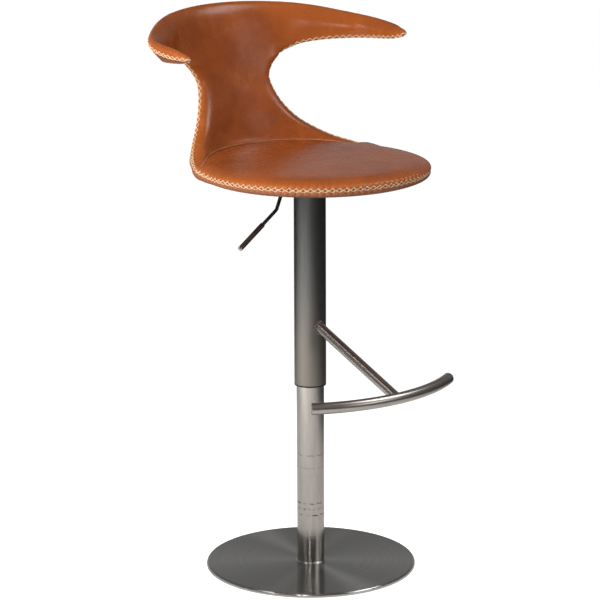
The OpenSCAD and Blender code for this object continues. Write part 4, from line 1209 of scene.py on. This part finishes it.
def add_floor():
    """White where the camera looks. Otherwise a pale round sheet that gives off a painted glow for
    reflections only, on a floor darkened with painted shade beyond it.
    """
    bare_selection()
    bpy.ops.mesh.primitive_plane_add(size=FLOOR_SIZE, location=(0, 0, 0))
    floor = bpy.context.object
    floor.name = "floor"
    f = Finish("studio_floor", Roughness=0.9, Specular_IOR_Level=0.0, Emission_Strength=1.0)
    x, y, _ = f.axes()
    left = x - SHEET_X
    sheet = 1 - ((left * left + y * y) ** 0.5).between(SHEET_R, SHEET_END_R)
    rays = f.tree.nodes.new("ShaderNodeLightPath").outputs
    seen = Wire(f, rays["Is Camera Ray"]).most(Wire(f, rays["Is Transmission Ray"]))
    # Painted glow, which only reflections show.
    painted_glow = sheet * ((0 - x).between(GLOW_FROM, GLOW_TO) * GLOW_MORE + GLOW_NEAR)
    level = seen.most(Wire(f, rays["Is Glossy Ray"]) * painted_glow)
    # Beyond the sheet, painted shade darkens the floor.
    f.done(Base_Color=f.blend(sheet, SHADE_BEYOND_SHEET, f.blend(f.noise(3, 2, 0.5), SHEET_GREY, SHEET_PALE)),
           Emission_Color=f.blend(level, BLACK, WHITE))
    floor.data.materials.append(f.material)


def add_lamp(name, place, aim, size, power, mirrored=True):
    """A flat lamp, its size in metres and its power in watts. Metal shows it only where it is mirrored."""
    bpy.ops.object.light_add(type="AREA", location=place)
    lamp = bpy.context.object
    lamp.name = name
    lamp.data.shape = "RECTANGLE"
    lamp.data.size, lamp.data.size_y = size
    lamp.data.energy = power
    lamp.visible_glossy = mirrored
    lamp.rotation_euler = (Vector(aim) - Vector(place)).to_track_quat("-Z", "Y").to_euler()


def set_world():
    """White where the camera looks. The light on the stool is dim, and stronger low behind the stool."""
    world = bpy.data.worlds.new("studio")
    bpy.context.scene.world = world
    world.use_nodes = True
    tree = world.node_tree

    def node(kind, sockets, **settings):
        made = tree.nodes.new(kind)
        for key, value in settings.items():
            setattr(made, key, value)
        for key, value in sockets.items():
            if hasattr(value, "default_value"):
                tree.links.new(value, made.inputs[key])
            else:
                made.inputs[key].default_value = value
        return made.outputs

    def ranged(value, low, high, at_low, at_high):
        return node("ShaderNodeMapRange", {0: value, 1: low, 2: high, 3: at_low, 4: at_high})[0]

    def maths(operation, a, b):
        return node("ShaderNodeMath", {0: a, 1: b}, operation=operation)[0]

    rays = node("ShaderNodeLightPath", {})
    seen = maths("MAXIMUM", rays["Is Camera Ray"], rays["Is Transmission Ray"])
    towards = node("ShaderNodeSeparateXYZ", {0: node("ShaderNodeTexCoord", {})["Generated"]})
    behind, below = ranged(towards[1], *BAND_BACK, 0.0, 1.0), ranged(towards[2], *BAND_TOP, 1.0, 0.0)
    band = maths("MULTIPLY", behind, below)
    strength = maths("MAXIMUM", ranged(band, 0.0, 1.0, WORLD_DIM, WORLD_BAND), seen)
    tree.links.new(strength, tree.nodes["Background"].inputs["Strength"])
    tree.nodes["Background"].inputs["Color"].default_value = (*WHITE, 1)


add_floor()
set_world()
add_lamp("left_softbox", (-2.4, 0.35, 1.5), (0, 0, 0.8), (1.7, 1.7), 62, mirrored=False)
add_lamp("key_softbox", (-1.9, -1.8, 2.0), (0, 0, 0.8), (1.0, 1.0), 37, mirrored=False)
add_lamp("left_high_lamp", (-2.1, -1.9, 2.5), (0, 0, 0.8), (0.4, 0.4), 16)
add_lamp("left_top_lamp", (-2.2, 0.1, 3.0), (0, 0, 0.9), (0.7, 0.7), 15)
add_lamp("right_softbox", (1.5, -1.0, 2.8), (0, 0, 0.7), (1.1, 1.1), 23)
add_lamp("front_softbox", (1.0, -2.9, 1.75), (0, 0, 1.0), (1.4, 0.8), 9)

bpy.context.scene.view_settings.view_transform = "Standard"
